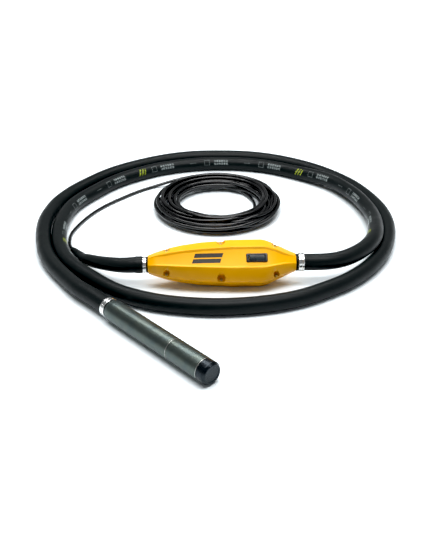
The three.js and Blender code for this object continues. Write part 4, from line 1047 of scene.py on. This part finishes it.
def add_head():
    band = clamp("clamp_head_visual", 0.6, 12.8, HOSE_R + 0.1)
    finish_piece(in_head(band, 1.0), "clamp_steel", "hose_clamp_head")
    collar = turned("connector_visual", [
        (-14, 7), (-14, 9.4), (-4, 10), (16.4, 10), (16.4, 21.0), (17.4, 22.0), (20.7, 22.3), (20.7, 18.5),
        (38, 18.5), (38, 7)], 96, 0.4)
    finish_piece(in_head(collar), "head_steel", "head_connector")
    taper = [(21 + CASING_TAPER * t, 22.7 + (HEAD_R - 22.7) * math.sin(t * math.pi / 2) ** 0.9) for t in
             (0.06, 0.15, 0.27, 0.4, 0.55, 0.7, 0.85, 1.0)]
    casing = turned("casing_visual", [(21, 18.8), (21, 22.5)] + taper + [
        (JOINT_1 - 0.9, HEAD_R), (JOINT_1, HEAD_R - 0.6), (JOINT_1, HEAD_INNER - 1.1),
        (JOINT_1 - 12, HEAD_INNER - 1.1), (JOINT_1 - 12, HEAD_INNER), (45, HEAD_INNER), (45, 18.8)], 112, 0.5)
    finish_piece(in_head(casing), "head_steel", "motor_casing")
    ring = turned("ring_rear_visual", [
        (JOINT_1 + 0.3, HEAD_INNER - 1.2), (JOINT_1 + 0.3, HEAD_R - 0.1), (JOINT_1 + 1.9, HEAD_R - 0.1),
        (JOINT_1 + 1.9, HEAD_INNER - 1.2)], 112, 0.25)
    finish_piece(in_head(ring), "clamp_steel", "joint_ring_rear", look=RING_LOOK)
    front = turned("weight_casing_visual", [
        (JOINT_1 + 2.2, HEAD_INNER - 1), (JOINT_1 + 2.2, HEAD_R - 0.6), (JOINT_1 + 3, HEAD_R),
        (JOINT_2 - 1.1, HEAD_R), (JOINT_2 - 0.3, HEAD_R - 0.6), (JOINT_2 - 0.3, HEAD_INNER - 3),
        (JOINT_2 - 14, HEAD_INNER - 3), (JOINT_2 - 14, HEAD_INNER - 1)], 112, 0.3)
    finish_piece(in_head(front), "head_steel", "weight_casing")
    ring = turned("ring_front_visual", [
        (JOINT_2, HEAD_INNER - 3), (JOINT_2, HEAD_R - 0.1), (JOINT_2 + 1.6, HEAD_R - 0.1),
        (JOINT_2 + 1.6, HEAD_INNER - 3)], 112, 0.25)
    finish_piece(in_head(ring), "clamp_steel", "joint_ring_front", look=RING_LOOK)
    end = HEAD_LENGTH
    cap = turned("tip_visual", [
        (JOINT_2 - 12, 0), (JOINT_2 - 12, HEAD_INNER - 3.5), (JOINT_2 + 1.9, HEAD_INNER - 3.5),
        (JOINT_2 + 1.9, HEAD_R - 0.6), (JOINT_2 + 2.6, HEAD_R),
        (end - 5.5, HEAD_R - 0.1), (end - 0.4, HEAD_R - 3.6), (end, HEAD_R - 4.4), (end, HEAD_R - 7.6),
        (end - 1.0, HEAD_R - 8.4), (end - 1.0, 0)], 112, [0, 0.4, 0.3, 0.2, 0.5, 3.0, 1.6, 0.5, 0.5, 0.5, 0], 6)
    finish_piece(in_head(cap), "tip_steel", "tip_cap")


# ---------------------------------------------------------------- the rest


def dress_cad_nodes():
    """Gives the CAD pieces that stay their own materials."""
    slots = {s["node"]: s["material_slot"] for s in frame["record"]["subparts"]}
    for node, obj in frame["nodes"].items():
        look = LOOKS[slots[node]].material
        for place in obj.material_slots:
            place.material = look


WORLD_LEVEL = 0.25
BLACK_POINT = 0.009


def add_stage():
    size = 9000.0
    corners = [(-size, -size), (size, -size), (size, size), (-size, size)]
    floor = new_object("floor", [(x, y, -0.4) for x, y in corners], [(0, 1, 2, 3)])
    floor.data.materials.append(floor_material().material)
    add_world()
    add_light("overhead", (-0.05, -0.35, 2.3), (-0.05, 0.1, 0.0), 2.4, 1.0, 78.0)
    add_light("back_strip", (-0.1, 1.25, 2.1), (-0.1, 0.15, 0.0), 2.6, 0.5, 50.0)


def add_world():
    """Dim room with a white band along the horizon."""
    world = bpy.data.worlds.new("studio")
    world.use_nodes = True
    tree = world.node_tree
    split = tree.nodes.new("ShaderNodeSeparateXYZ")
    tree.links.new(tree.nodes.new("ShaderNodeTexCoord").outputs["Generated"], split.inputs[0])
    fade = tree.nodes.new("ShaderNodeMapRange")
    for socket, number in zip(list(fade.inputs)[1:5], (0.04, 0.22, 1.0, WORLD_LEVEL)):
        socket.default_value = number
    tree.links.new(split.outputs[2], fade.inputs[0])
    background = tree.nodes["Background"]
    background.inputs["Color"].default_value = (0.97, 0.985, 1.0, 1.0)
    tree.links.new(fade.outputs[0], background.inputs["Strength"])
    bpy.context.scene.world = world


def add_light(name, at, aim, width, depth, power):
    data = bpy.data.lights.new(name, "AREA")
    data.shape = "RECTANGLE"
    data.size = width
    data.size_y = depth
    data.energy = power
    light = bpy.data.objects.new(name, data)
    light.location = at
    light.rotation_euler = (Vector(aim) - Vector(at)).to_track_quat("-Z", "Y").to_euler()
    bpy.context.collection.objects.link(light)


add_hose()
sleeves = add_stub()
cable, cable_path = add_cable()
plug_pieces = add_plug()
add_housing()
add_fittings()
add_head()
dress_cad_nodes()
add_stage()

bpy.context.scene.view_settings.view_transform = "Standard"
bpy.context.scene.view_settings.look = "None"
bpy.context.scene.view_settings.use_curve_mapping = True
bpy.context.scene.view_settings.curve_mapping.black_level = (BLACK_POINT, BLACK_POINT, BLACK_POINT)
